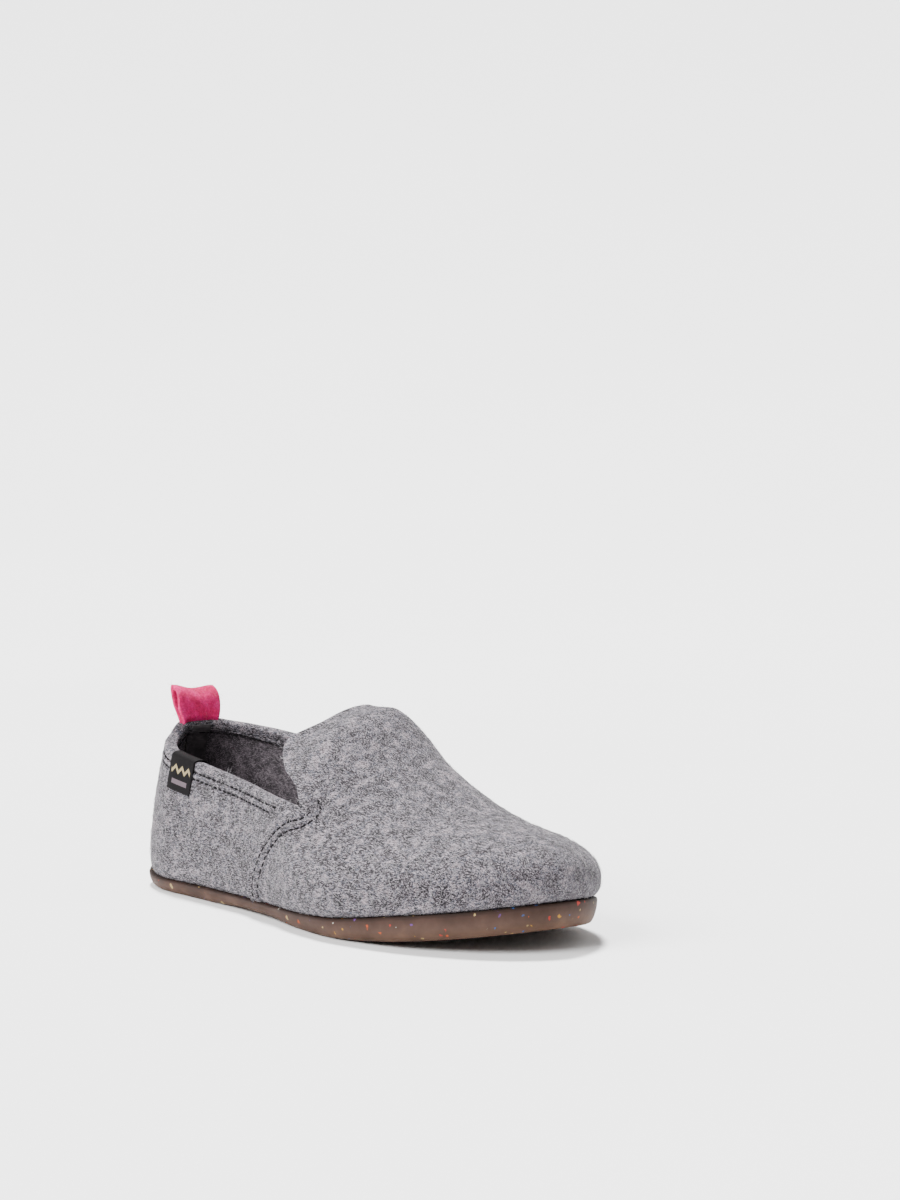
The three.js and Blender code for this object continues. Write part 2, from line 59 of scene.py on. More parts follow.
# %% Sizes of the sole and the upper
SOLE_LENGTH = 256.0
BALL_WIDTH = 99.0
TOE_SPRING = 9.5
SPRING_START = 0.62
WAIST_LIFT = 0.9
SOLE_TAPER = 3.0
TOE_SWING = 1.0
FEATHER_INSET = 1.0
WALL = 3.2
HEM_WALL = 5.2
FELT_BULGE = 4.2
BELLY_HEIGHT = 13.0
HEEL_HEIGHT = 61.5
NOTCH_HEIGHT = 40.5
INSTEP_HEIGHT = 72.0
NOSE_HEIGHT = 11.0
HEEL_LEAN = 11.0
LEAN_POWER = 1.6
HEEL_REACH = 0.25
TOE_REACH = 0.2
LAP_RISE = 1.4
LAP_DEPTH = 13.0
GAP = 0.3
print("sole:", SOLE_LENGTH, "mm long and", BALL_WIDTH, "mm wide")

# %% Places along the length, as shares of it
NOTCH_AT = 0.56
SEAM_FOOT_AT = 0.427
TONGUE_AT = 0.44
TONGUE_FOOT_AT = 0.7
TONGUE_WAIST_AT = 0.64
SEAM_CURVE = 1.7
QUARTER_WAIST = 0.6
RIDGE_SPREAD = 0.9
OUTER, INNER = -1, 1
NAMES = {OUTER: "outer", INNER: "inner"}
print("the notch is", round(NOTCH_AT * SOLE_LENGTH), "mm from the heel")

# %% Tables of the last
OUTLINE = {
    "at": [0, 0.17, 0.34, 0.48, 0.6, 0.7, 0.78, 1],
    "outer": [0.65, 0.67, 0.72, 0.81, 0.94, 1, 1, 1],
    "inner": [0.65, 0.66, 0.65, 0.72, 0.86, 0.97, 1, 1],
}
SECTIONS = {
    "at": [0, 0.15, 0.3, 0.46, 0.5, 0.53, 0.6, 0.7, 0.8, 0.92, 1],
    "rise": [1.61, 1.46, 1.22, 1.045, 1.05, 1.015, 0.82, 0.625, 0.478, 0.382, 0.345],
    "shift": [0, 0.04, 0.18, 0.36, 0.36, 0.35, 0.29, 0.21, 0.13, 0.05, 0],
    "shoulder": [-0.03, -0.02, 0.05, 0.19, 0.16, 0.13, 0.08, 0.05, 0.04, 0.04, 0.04],
    "square": [1, 1, 0.98, 0.95, 0.95, 0.95, 0.94, 0.93, 0.89, 0.85, 0.85],
    "belly": [0.3, 0.3, 0.45, 0.65, 0.7, 0.75, 0.85, 0.95, 1, 1, 1],
}
COLLAR = {
    "at": [0, 0.012, 0.05, 0.12, 0.18, 0.26, 0.36, 0.66, 1],
    "outer": [1, 0.99, 0.77, 0.68, 0.61, 0.52, 0.435, 0.225, 0],
    "inner": [1, 1, 0.96, 0.92, 0.88, 0.84, 0.79, 0.465, 0],
}
TONGUE_EDGE = {
    "at": [0, 0.28, 0.5, 0.72, 1],
    "back": [0, 0.83, 1.2, 1, 1],
    "over": [0, 0.17, 0.34, 0.62, 1],
}
THICKNESS = {
    "at": [0, 0.03, 0.1, 0.25, 0.45, 0.66, 0.86, 1],
    "side": [8.2, 6.75, 5.3, 5.6, 5.6, 7.2, 9.6, 9.6],
}
SOLE_SIDE = {"at": [0, 0.3, 0.6, 0.82, 0.95, 1], "inset": [0, 0.08, 0.3, 0.58, 0.88, 1.3]}
ROUNDS = {"heel": (0.165, 2.05), OUTER: (0.33, 2), INNER: (0.25, 2), "ridge": (0.13, 2)}
print("tables:", len(SECTIONS["at"]), "sections of the last")


# %% [markdown]
# ## The last
# `along` draws a smooth curve through a table, one that never overshoots, as a flexible batten would.
# `last_point` gives a point of the foot's form for a share of the length and a turn from the sole to the
# ridge. Both take whole arrays, so a surface of fifty thousand points takes a moment.

# %% Curves through tables
def along(table, column, at):
    places = np.array(table["at"], float)
    values = np.array(table[column], float)
    spans = np.diff(places)
    slopes = np.diff(values) / spans
    tangents = np.concatenate([slopes[:1], np.zeros(len(slopes) - 1), slopes[-1:]])
    before, after = slopes[:-1], slopes[1:]
    same_way = before * after > 0
    total = np.where(same_way, before + after, 1)
    tangents[1:-1] = np.where(same_way, 2 * before * after / total, 0)
    at = np.asarray(at, float)
    i = np.clip(np.searchsorted(places, at) - 1, 0, len(spans) - 1)
    t = np.clip((at - places[i]) / spans[i], 0, 1)
    a, b = values[i], values[i + 1]
    rise, fall = tangents[i] * spans[i], tangents[i + 1] * spans[i]
    return a + t * rise + t**2 * (3 * (b - a) - 2 * rise - fall) + t**3 * (2 * (a - b) + rise + fall)


def smooth(low, high, value):
    t = np.clip((np.asarray(value, float) - low) / (high - low), 0, 1)
    return t * t * (3 - 2 * t)


def end_round(distance, end):
    reach, power = ROUNDS[end]
    near = np.clip(1 - np.asarray(distance, float) / reach, 0, 1)
    return (1 - near**power) ** (1 / power)


print("share of the collar's drop left at 0.3 of the way:", round(float(along(COLLAR, "outer", 0.3)), 3))

# %% The form of the foot
def ends(share, side):
    return end_round(share, "heel") * end_round(1 - share, side)


def swing(share):
    return TOE_SWING * np.maximum(0, (share - 0.5) / 0.5) ** 2


def half_width(share, side):
    return along(OUTLINE, NAMES[side], share) * BALL_WIDTH / 2


def lift(share):
    return TOE_SPRING * np.maximum(0, (share - SPRING_START) / (1 - SPRING_START)) ** 2


def sole_bottom(x):
    share = np.clip(x / SOLE_LENGTH, 0, 1)
    return lift(share) + WAIST_LIFT * smooth(0.28, 0.38, share) * (1 - smooth(0.46, 0.56, share))


def sole_top(x):
    share = np.clip(x / SOLE_LENGTH, 0, 1)
    return along(THICKNESS, "side", share) + lift(share)


def last_point(share, turn, side):
    share, turn = np.broadcast_arrays(np.asarray(share, float), np.asarray(turn, float))
    angle = turn * np.pi / 2
    flat = np.cos(angle)
    foot = half_width(share, side) - FEATHER_INSET
    ridge = along(SECTIONS, "rise", share) * INSTEP_HEIGHT
    tall = NOSE_HEIGHT + (ridge - NOSE_HEIGHT) * end_round(1 - share, "ridge")
    up = tall * np.sin(angle) ** along(SECTIONS, "square", share)
    bulge = FELT_BULGE * along(SECTIONS, "belly", share)
    belly = up / BELLY_HEIGHT * np.exp(1 - up / BELLY_HEIGHT) * bulge
    spread = flat * (1 + along(SECTIONS, "shoulder", share) * np.sin(2 * angle) ** 2)
    shift = along(SECTIONS, "shift", share) * BALL_WIDTH / 2
    y = side * ends(share, side) * (foot * spread + belly * flat) + shift * (1 - flat) + swing(share)
    heel_pull = np.maximum(0, 1 - share / HEEL_REACH) ** 2
    toe_push = np.maximum(0, 1 - (1 - share) / TOE_REACH) ** 2
    x = FEATHER_INSET + (SOLE_LENGTH - 2 * FEATHER_INSET) * share + toe_push * belly
    x = x + heel_pull * (HEEL_LEAN * (up / HEEL_HEIGHT) ** LEAN_POWER - belly)
    return np.stack([x, y, sole_top(x) + GAP + up], axis=-1)


def unit(v):
    return v / np.maximum(np.linalg.norm(v, axis=-1, keepdims=True), 1e-12)


def last_normal(share, turn, side):
    share, turn = np.broadcast_arrays(np.asarray(share, float), np.asarray(turn, float))
    s = np.clip(share, 0.0005, 0.9995)
    t = np.clip(turn, 0.002, 0.99)
    step = 0.0004

    def facing(way):
        forward = last_point(s + step, t, way) - last_point(s - step, t, way)
        upward = last_point(s, t + step, way) - last_point(s, t - step, way)
        return unit(-way * np.cross(forward, upward))

    own = facing(side)
    shared = (share < 0.001) | (share > 0.999) | (turn > 0.999)
    return np.where(shared[..., None], unit(own + facing(-side)), own)


def turn_at(share, height, side):
    share, height = np.broadcast_arrays(np.asarray(share, float), np.asarray(height, float))
    low, high = np.zeros(share.shape), np.ones(share.shape)
    for _ in range(40):
        middle = (low + high) / 2
        point = last_point(share, middle, side)
        below = point[..., 2] - sole_top(point[..., 0]) - GAP < height
        low, high = np.where(below, middle, low), np.where(below, high, middle)
    return (low + high) / 2


print("top of the tongue:", np.round(last_point(TONGUE_AT, 1.0, OUTER), 1))


# %% [markdown]
# ## The pattern lines
# Columns climb from the sole to the opening's edge, or to the ridge where the vamp is closed. Each one
# has a lower piece, up to the height of the notch, and an upper piece. That keeps the mesh even where the
# low quarter ends and the high tongue begins.

# %% Columns of the upper
def lerp(a, b, t):
    return a + (b - a) * t


def quarter_place(t, v, side):
    """Share and turn at a height v (0 foot, 1 edge) of the quarter's column t (0 back seam, 1 lap seam)."""
    ease = 1 - np.cos(t * np.pi / 2)
    top, foot = NOTCH_AT * ease, SEAM_FOOT_AT * ease
    height = NOTCH_HEIGHT + (HEEL_HEIGHT - NOTCH_HEIGHT) * along(COLLAR, NAMES[side], ease)
    return foot + (top - foot) * v**SEAM_CURVE, turn_at(top, height, side) * v


def vamp_place(foot, middle, top, turn, u, w, side):
    """u climbs the lower piece and w the upper one."""
    low = turn_at(NOTCH_AT, NOTCH_HEIGHT, side)
    share = foot + (middle - foot) * u**SEAM_CURVE + (top - middle) * w
    return np.broadcast_arrays(share, low * u + (turn - low) * w)


def tongue_place(t, u, w, side):
    top = lerp(NOTCH_AT, TONGUE_AT, along(TONGUE_EDGE, "back", t))
    low = turn_at(NOTCH_AT, NOTCH_HEIGHT, side)
    turn = lerp(low, 1, along(TONGUE_EDGE, "over", t))
    foot, middle = lerp(SEAM_FOOT_AT, TONGUE_FOOT_AT, t), lerp(NOTCH_AT, TONGUE_WAIST_AT, t)
    return vamp_place(foot, middle, top, turn, u, w, side)


def ridge_place(t, u, w, side):
    ease = np.sin(t * np.pi / 2)
    foot, middle = lerp(TONGUE_FOOT_AT, 1, ease), lerp(TONGUE_WAIST_AT, 1, ease)
    return vamp_place(foot, middle, lerp(TONGUE_AT, 1, ease**RIDGE_SPREAD), 1, u, w, side)


seam_ends = last_point(*quarter_place(1.0, np.array([0.0, 1.0]), OUTER), OUTER)
print("lap seam's foot and top:", np.round(seam_ends, 1).tolist())

# %% Rows are closer together near the edge, where the hem is stitched
QUARTER_COLUMNS = 96
TONGUE_COLUMNS = 56
RIDGE_COLUMNS = 72
FINE_FROM = 0.72
LOWER_ROWS = np.concatenate([np.linspace(0, FINE_FROM, 24)[:-1], np.linspace(FINE_FROM, 1, 22)])
UPPER_ROWS = np.concatenate([np.linspace(0, 0.6, 16)[1:-1], np.linspace(0.6, 1, 20)])


def quarter_rows(t):
    split = lerp(QUARTER_WAIST, 1, 1 - np.cos(t * np.pi / 2))
    lower = split[:, None] * LOWER_ROWS[None, :]
    upper = split[:, None] + (1 - split[:, None]) * UPPER_ROWS[None, :]
    return np.concatenate([lower, upper], axis=1)


def side_places(side):
    """Shares and turns of every grid point of one side."""
    t = np.linspace(0, 1, QUARTER_COLUMNS + 1)
    quarter = quarter_place(t[:, None], quarter_rows(t), side)
    u = np.concatenate([LOWER_ROWS, np.ones(len(UPPER_ROWS))])[None, :]
    w = np.concatenate([np.zeros(len(LOWER_ROWS)), UPPER_ROWS])[None, :]
    first = np.concatenate([[0, 0.0012, 0.004, 0.008], np.linspace(0.014, 1, TONGUE_COLUMNS)])
    tongue = tongue_place(first[:, None], u, w, side)
    ridge = ridge_place(np.linspace(0, 1, RIDGE_COLUMNS + 1)[1:, None], u, w, side)
    share = np.concatenate([quarter[0], tongue[0], ridge[0]])
    turn = np.concatenate([quarter[1], tongue[1], ridge[1]])
    return share, turn


PLACES = {side: side_places(side) for side in (OUTER, INNER)}
FIRST_VAMP = QUARTER_COLUMNS + 1
LAST_OPEN = FIRST_VAMP + TONGUE_COLUMNS + 3
print("columns and rows a side:", PLACES[OUTER][0].shape)


# %% [markdown]
# ## Distances to the edge and the seam
# The hem's stitch rows lie a set way below the opening's edge, and the vamp lies on the quarter along the
# lap seam. Both need to know how far each point is from a line, so one function measures points against a
# polyline.

# %% Distance from points to a polyline
def distance_to(line, points):
    flat = points.reshape(-1, 3)
    nearest = np.full(len(flat), np.inf)
    for a, b in zip(line[:-1], line[1:]):
        span = b - a
        length = span @ span
        if length < 1e-9:
            continue
        t = np.clip((flat - a) @ span / length, 0, 1)
        nearest = np.minimum(nearest, np.linalg.norm(flat - a - t[:, None] * span, axis=1))
    return nearest.reshape(points.shape[:-1])


POINTS = {side: last_point(*PLACES[side], side) for side in PLACES}
NORMALS = {side: last_normal(*PLACES[side], side) for side in PLACES}
EDGE_LINES = {side: POINTS[side][: LAST_OPEN + 1, -1][::2] for side in PLACES}
SEAM_LINES = {side: POINTS[side][FIRST_VAMP, : len(LOWER_ROWS)][::2] for side in PLACES}
TO_EDGE = {s: np.minimum(*[distance_to(EDGE_LINES[o], POINTS[s]) for o in PLACES]) for s in PLACES}
TO_SEAM = {side: distance_to(SEAM_LINES[side], POINTS[side]) for side in PLACES}


def vamp_edge(side, run):
    """Share and turn on the vamp's cut edge: up the seam for a run of 0 to 1, then on along the tongue."""
    run = np.asarray(run, float)
    low = turn_at(NOTCH_AT, NOTCH_HEIGHT, side)
    seam = SEAM_FOOT_AT + (NOTCH_AT - SEAM_FOOT_AT) * np.minimum(run, 1) ** SEAM_CURVE
    tongue_share, tongue_turn = (place[FIRST_VAMP : LAST_OPEN + 1, -1] for place in PLACES[side])
    return np.where(run <= 1, seam, np.interp(low * run, tongue_turn, tongue_share)), low * run


SEWN_UP_TO = 1.06
SEWN_MORE = 0.02
VAMP_EDGES = {s: last_point(*vamp_edge(s, np.linspace(0, 1.5, 90)), s) for s in PLACES}
TO_CUT = {side: distance_to(VAMP_EDGES[side], POINTS[side]) for side in PLACES}
print("widest from the edge:", round(float(TO_EDGE[OUTER].max()), 1), "mm")

# %% [markdown]
# ## Relief of the felt
# A needle pulls thick felt down, so each row of stitches lies in a groove and the felt puffs up between
# the rows. The tongue's edge is only pressed. The vamp's cut edge stands up on the quarter. A worn last
# and a warm press leave the wool a little uneven: a few shallow dents are listed.

# %% Grooves, puffs and listed dents
HEM_ROWS = (3.7, 6.4)
LAP_ROWS = (3.4, 7.4)
LAP_SPREAD = 3.0
LAP_ENDS = (3.5, 6.0)
TUCK_DEEP = 0.6
TUCK_HIGH = 1.2
GROOVE_DEPTH = 0.6
GROOVE_WIDTH = 0.75
PUFF = 0.28
DENTS = [
    {"at": (108, -38, 30), "reach": 17, "deep": 1.0},
    {"at": (62, -31, 34), "reach": 20, "deep": -0.7},
    {"at": (150, -44, 22), "reach": 20, "deep": -0.6},
    {"at": (142, -30, 52), "reach": 18, "deep": 0.4},
    {"at": (176, -34, 34), "reach": 22, "deep": 0.6},
    {"at": (205, -20, 30), "reach": 16, "deep": -0.5},
    {"at": (120, 38, 36), "reach": 22, "deep": 0.9},
    {"at": (30, 25, 30), "reach": 18, "deep": 0.7},
    {"at": (190, 30, 30), "reach": 20, "deep": 0.6},
    {"at": (25, -26, 22), "reach": 16, "deep": 0.6},
]


def bell(distance, width):
    return np.exp(-((distance / width) ** 2))


def dents(points):
    total = np.zeros(points.shape[:-1])
    for dent in DENTS:
        away = np.linalg.norm(points - np.array(dent["at"], float), axis=-1)
        total = total - dent["deep"] * bell(away, dent["reach"])
    return total


def ripple(points):
    x, y, z = points[..., 0], points[..., 1], points[..., 2]
    slow = np.sin(x / 9.1 + 0.7 * np.sin(z / 7.3)) * np.cos(y / 8.3 + z / 11.7)
    quick = np.sin(x / 3.7 + y / 4.9 + np.sin(z / 3.1)) * np.cos(z / 3.3 - x / 6.1)
    return 0.12 * slow + 0.06 * quick


def lap_shift(height):
    """The rows swing away from the cut edge as they near the notch."""
    return LAP_SPREAD * smooth(0.45 * NOTCH_HEIGHT, NOTCH_HEIGHT, height)


def vamp_relief(points, to_edge, to_seam, to_cut):
    """The vamp's step over the quarter, the grooves of its stitches and the pressed edge of the tongue."""
    lap = LAP_RISE * (1 - smooth(0, LAP_DEPTH, to_seam))
    height = points[..., 2] - sole_top(points[..., 0]) - GAP
    sewn = 1 - smooth(*LAP_ENDS, height - NOTCH_HEIGHT)
    past = to_cut - lap_shift(height)
    lap = lap + sewn * sum(-GROOVE_DEPTH * bell(past - row, GROOVE_WIDTH) for row in LAP_ROWS)
    lap = lap + sewn * PUFF * bell(past - sum(LAP_ROWS) / 2, 1.2)
    return lap - (1 - sewn) * 0.25 * bell(to_edge - 3.0, 1.1)


def relief(side):
    points, to_edge = POINTS[side], TO_EDGE[side]
    column = np.arange(len(to_edge))[:, None]
    hem = sum(-GROOVE_DEPTH * bell(to_edge - row, GROOVE_WIDTH) for row in HEM_ROWS)
    hem = hem + PUFF * bell(to_edge - sum(HEM_ROWS) / 2, 1.1)
    lap = vamp_relief(points, to_edge, TO_SEAM[side], TO_CUT[side])
    cut = np.interp(column - FIRST_VAMP, [0, 1, 2, 3], [0.15, 0.62, 0.9, 1])
    tuck = -TUCK_DEEP * bell(points[..., 2] - sole_top(points[..., 0]) - GAP, TUCK_HIGH)
    return np.where(column >= FIRST_VAMP, lap * cut, hem) + tuck + dents(points) + ripple(points)


SKIN = {side: POINTS[side] + NORMALS[side] * relief(side)[..., None] for side in PLACES}
print("relief from", round(float(relief(OUTER).min()), 2), "to", round(float(relief(OUTER).max()), 2), "mm")

# %% [markdown]
# ## From arrays to a mesh
# Each surface is a grid of points. `weld` gathers grids, joins the points that coincide and makes one
# object. The object sits at the origin and its place is in its mesh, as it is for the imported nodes.

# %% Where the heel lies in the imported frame
sole_low, sole_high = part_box("outsole")


def sole_outline(w, side, inset=0.0):
    """Point of the sole's plan for a run w from heel to toe, moved in by an inset."""
    w = np.asarray(w, float)

    def raw(v):
        share = (1 - np.cos(np.pi * v)) / 2
        y = side * half_width(share, side) * ends(share, side) + swing(share)
        return np.stack([SOLE_LENGTH * share, y], axis=-1)

    middle = np.clip(w, 0.001, 0.999)
    tangent = raw(middle + 0.001) - raw(middle - 0.001)
    inward = unit(np.stack([side * tangent[..., 1], -side * tangent[..., 0]], axis=-1))
    inward = np.where((w == 0)[..., None], [1.0, 0.0], inward)
    inward = np.where((w == 1)[..., None], [-1.0, 0.0], inward)
    return raw(w) + inward * inset


runs = np.linspace(0, 1, 801)
middle_y = (sole_outline(runs, OUTER)[:, 1].min() + sole_outline(runs, INNER)[:, 1].max()) / 2
HEEL_BACK = np.array([sole_low.x * 1000, (sole_low.y + sole_high.y) * 500 - middle_y, 0.0])
print("heel's back in the frame:", np.round(HEEL_BACK, 2), "mm")


# %% Grids to one welded object
def grid_faces(rows, columns, start=0):
    index = start + np.arange(rows * columns).reshape(rows, columns)
    return np.stack([index[:-1, :-1], index[1:, :-1], index[1:, 1:], index[:-1, 1:]], axis=-1).reshape(-1, 4)


def strip(one, other):
    """A band of faces between two rows of points."""
    return np.stack([one, other], axis=1)


def weld(name, grids, material, joined=0.004):
    """One smooth object from grids of points in millimetres from the heel's back."""
    points, faces = [], []
    count = 0
    for grid in grids:
        faces.append(grid_faces(grid.shape[0], grid.shape[1], count))
        points.append(grid.reshape(-1, 3))
        count += points[-1].shape[0]
    return to_object(name, np.concatenate(points), np.concatenate(faces), material, joined)


def to_object(name, points, faces, material, joined=0.004):
    mesh = bpy.data.meshes.new(name)
    places = ((points + HEEL_BACK) / 1000).tolist()
    mesh.from_pydata(places, [], faces if isinstance(faces, list) else faces.tolist())
    piece = bpy.data.objects.new(name, mesh)
    bpy.context.collection.objects.link(piece)
    work = bmesh.new()
    work.from_mesh(mesh)
    if joined:
        bmesh.ops.remove_doubles(work, verts=work.verts, dist=joined / 1000)
        bmesh.ops.dissolve_degenerate(work, edges=work.edges, dist=joined / 4000)
    bmesh.ops.recalc_face_normals(work, faces=work.faces)
    open_edges = sum(1 for edge in work.edges if len(edge.link_faces) != 2)
    work.to_mesh(mesh)
    work.free()
    mesh.shade_smooth()
    mesh.materials.append(material)
    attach(piece, "root")
    print(f"{name}: {len(mesh.polygons)} faces, {open_edges} open edges")
    return piece


# %% [markdown]
# ## Felt
# Wool felt is carded fibre, wetted, rubbed and pressed until it locks. This one mixes dark and pale wool.
# Seen close, it has three layers: soft blotches from the carding, a fine grain, and single fibres on top.
# Wool has an IOR near 1.55 and scatters light from its loose fibres, so it is rough, with a soft sheen.

# %% A node, its settings and its links
def linear(hex_colour):
    parts = [int(hex_colour[i : i + 2], 16) / 255 for i in (0, 2, 4)]
    return [c / 12.92 if c <= 0.04045 else ((c + 0.055) / 1.055) ** 2.4 for c in parts] + [1.0]


def add_node(tree, kind, values=None, links=None, stops=None, **settings):
    """Adds one node: options, socket values, links into its sockets, and a ramp's stops."""
    node = tree.nodes.new("ShaderNode" + kind)
    for option, value in settings.items():
        setattr(node, option, value)
    for socket, value in (values or {}).items():
        node.inputs[socket].default_value = value
    for socket, source in (links or {}).items():
        tree.links.new(source, node.inputs[socket])
    if stops:
        ramp = node.color_ramp.elements
        while len(ramp) < len(stops):
            ramp.new(0.5)
        for element, (position, colour) in zip(ramp, stops):
            element.position = position
            element.color = colour
    return node


def start_material(name, values):
    """A material whose surface is one Principled shader with these constant values."""
    material = bpy.data.materials.new(name)
    material.use_nodes = True
    tree = material.node_tree
    surface = tree.nodes["Principled BSDF"]
    for socket, value in values.items():
        surface.inputs[socket].default_value = value
    return material, tree, surface


print("mid grey in linear light:", round(linear("808080")[0], 3))


def in_millimetres(tree):
    """The object's own coordinates, in millimetres."""
    place = add_node(tree, "TexCoord")
    return add_node(tree, "VectorMath", {"Scale": 1000.0}, {0: place.outputs["Object"]},
                    operation="SCALE").outputs["Vector"]


# %% Felt from blotches, grain and fibres
FIBRE_WAYS = [(0.3, 0.2, 0.5), (1.2, 0.5, -0.4), (-0.6, 1.1, 0.9), (0.9, -0.8, 1.9), (2.1, 0.4, 1.2)]


def felt(name, tones, fleck_dark, fleck_pale, blotch=5.0, grain=0.8, strand=(1.7, 0.4), contrast=1.0,
         sheen=0.1):
    """tones: four colours of the carded wool, from dark to pale. Sizes are in millimetres."""
    material, tree, surface = start_material(name, {
        "Roughness": 0.92, "IOR": 1.55, "Specular IOR Level": 0.15,
        "Sheen Weight": sheen, "Sheen Roughness": 0.5,
    })
    place = in_millimetres(tree)
    soft = add_node(tree, "TexNoise", {"Scale": 1 / blotch, "Detail": 4.0, "Roughness": 0.64},
                    {"Vector": place})
    blend = add_node(tree, "ValToRGB", links={"Fac": soft.outputs["Fac"]},
                     stops=[(at, linear(tone)) for at, tone in zip((0.39, 0.47, 0.53, 0.61), tones)])
    fine = add_node(tree, "TexNoise", {"Scale": 1 / grain, "Detail": 3.0, "Roughness": 0.8},
                    {"Vector": place})
    span = {"From Min": 0.36, "From Max": 0.64, "To Min": 1 - 0.5 * contrast, "To Max": 1 + 0.55 * contrast}
    shade = add_node(tree, "MapRange", span, {"Value": fine.outputs["Fac"]})
    shaded = {0: blend.outputs["Color"], "Scale": shade.outputs["Result"]}
    colour = add_node(tree, "VectorMath", links=shaded, operation="SCALE").outputs["Vector"]
    height = fine.outputs["Fac"]
    for i, way in enumerate(FIBRE_WAYS):
        stretch = (1 / strand[0], 1 / strand[1], 1 / strand[1])
        turned = add_node(tree, "Mapping", {"Rotation": way, "Scale": stretch}, {"Vector": place})
        strands = add_node(tree, "TexNoise", {"Scale": 1.0, "Detail": 1.0, "Distortion": 0.8},
                           {"Vector": turned.outputs["Vector"]})
        found = add_node(tree, "MapRange", {"From Min": 0.55, "From Max": 0.63},
                         {"Value": strands.outputs["Fac"]}, interpolation_type="SMOOTHSTEP")
        strength = add_node(tree, "Math", {1: 0.75 * contrast}, {0: found.outputs["Result"]},
                            operation="MULTIPLY")
        tint = fleck_pale if i % 2 else fleck_dark
        colour = add_node(tree, "Mix", {7: linear(tint)}, {0: strength.outputs["Value"], 6: colour},
                          data_type="RGBA").outputs[2]
        height = add_node(tree, "Math", links={0: height, 1: found.outputs["Result"]},
                          operation="ADD").outputs["Value"]
    bump = add_node(tree, "Bump", {"Strength": 0.6, "Distance": 0.00022}, {"Height": height})
    tree.links.new(colour, surface.inputs["Base Color"])
    tree.links.new(bump.outputs["Normal"], surface.inputs["Normal"])
    return material


GREY_WOOL = ("151318", "372f33", "40434d", "867b80")
CHARCOAL_WOOL = ("2f2a2d", "423b41", "4f474d", "6c6369")
grey_felt = felt("grey_wool_felt", GREY_WOOL, "111013", "8f888f", contrast=1.2)
charcoal_felt = felt("charcoal_wool_lining", CHARCOAL_WOOL, "1b181b", "7f767c",
                     blotch=4.5, grain=1.2, contrast=0.9)
print("felts:", grey_felt.name, charcoal_felt.name)

# %% [markdown]
# ## The shell of grey felt
# The quarters and the vamp are cut from 3 mm felt and sewn into one shell. Its collar is turned in and
# stitched. The shell is a grid of columns: up the outside, over the rounded rim, down the inside of the
# hem and back into the wall, then down behind the lining to the sole. One closed skin, as a real wall
# has.

# %% The rim and the inside of the hem
RIM_STEPS = 7
RIM_RISE = 1.2
HEM_INSIDE = (3.2, 6.0)
INSIDE_ROWS = (2.6, 4.4)
FELT_THICK = 2.6
COARSE = slice(None, None, 2)


def inner_skin(side, depth):
    skin = POINTS[side] - NORMALS[side] * np.broadcast_to(depth, TO_EDGE[side].shape)[..., None]
    skin[:, 0, 2] = sole_top(skin[:, 0, 0]) + GAP
    return skin


def hem_inside(x):
    """Depth of the turned-in felt inside the collar: shallow at the back seam, deeper at the sides."""
    return lerp(*HEM_INSIDE, smooth(0, 60, x))


def upward(side):
    """The way up the wall at the opening's edge of each open column."""
    top = POINTS[side][: LAST_OPEN + 1, -1]
    near = top - POINTS[side][: LAST_OPEN + 1, -2]
    squeezed = np.linalg.norm(near, axis=1, keepdims=True) < 1e-3
    return unit(np.where(squeezed, top - POINTS[side][: LAST_OPEN + 1, len(LOWER_ROWS) - 3], near))


def rim(side, inside):
    """Rounded top of the hem: half an ellipse from the outer skin over to the inner one."""
    out, back = SKIN[side][: LAST_OPEN + 1, -1, None], inside[: LAST_OPEN + 1, -1, None]
    angle = np.linspace(0, np.pi, RIM_STEPS + 2)[None, :, None]
    over = upward(side)[:, None] * RIM_RISE
    return (out + back) / 2 + (out - back) / 2 * np.cos(angle) + over * np.sin(angle)


shell_grids = []
for side in (OUTER, INNER):
    past_hem = TO_EDGE[side] - hem_inside(POINTS[side][..., 0])
    depth = lerp(HEM_WALL, FELT_THICK, smooth(-0.4, 0.4, past_hem))
    inside_grooves = sum(0.35 * bell(TO_EDGE[side] - row, GROOVE_WIDTH) for row in INSIDE_ROWS)
    inside = inner_skin(side, depth - inside_grooves)
    shell_grids += [SKIN[side], inside, rim(side, inside), strip(SKIN[side][:, 0], inside[:, 0])]
shell = weld("felt_shell", shell_grids, grey_felt)
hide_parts("upper")

# %% The charcoal lining, tucked under the hem and reaching down to the footbed
LINING_FACE = 3.4
LINING_BACK = 2.9


def lining_face(side):
    x, z = POINTS[side][..., 0], POINTS[side][..., 2]
    crinkle = 0.16 * np.sin(x / 5.3 + z / 3.9) + 0.1 * np.sin(x / 2.6 - z / 4.4)
    return inner_skin(side, LINING_FACE + crinkle)[COARSE, COARSE]


lining_grids = []
for side in (OUTER, INNER):
    face, back = lining_face(side), inner_skin(side, LINING_BACK)[COARSE, COARSE]
    last = LAST_OPEN // 2 + 1
    lining_grids += [face, back, strip(face[:, 0], back[:, 0])]
    lining_grids.append(strip(face[:last, -1], back[:last, -1]))
lining = weld("charcoal_lining", lining_grids, charcoal_felt)
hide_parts("upper")

# %% [markdown]
# ## A dark strip over the back seam, painted shade
# The two quarters meet at the back of the heel. Inside, a dark strip lies over that seam. Its dark colour is
# painted shade of the heel's inner corner under the hem. It is a strip of known width laid on the inside of
# the wall, so each of its points is searched for by its height and its distance to the side.

# %% A dark strip down the inside of the back seam: painted shade of the heel's inner corner
SHADE_STRIP_WIDTH = 12.5
SHADE_STRIP_HEIGHTS = (14.0, 61.2)
SHADE_STRIP_THICK = 0.5


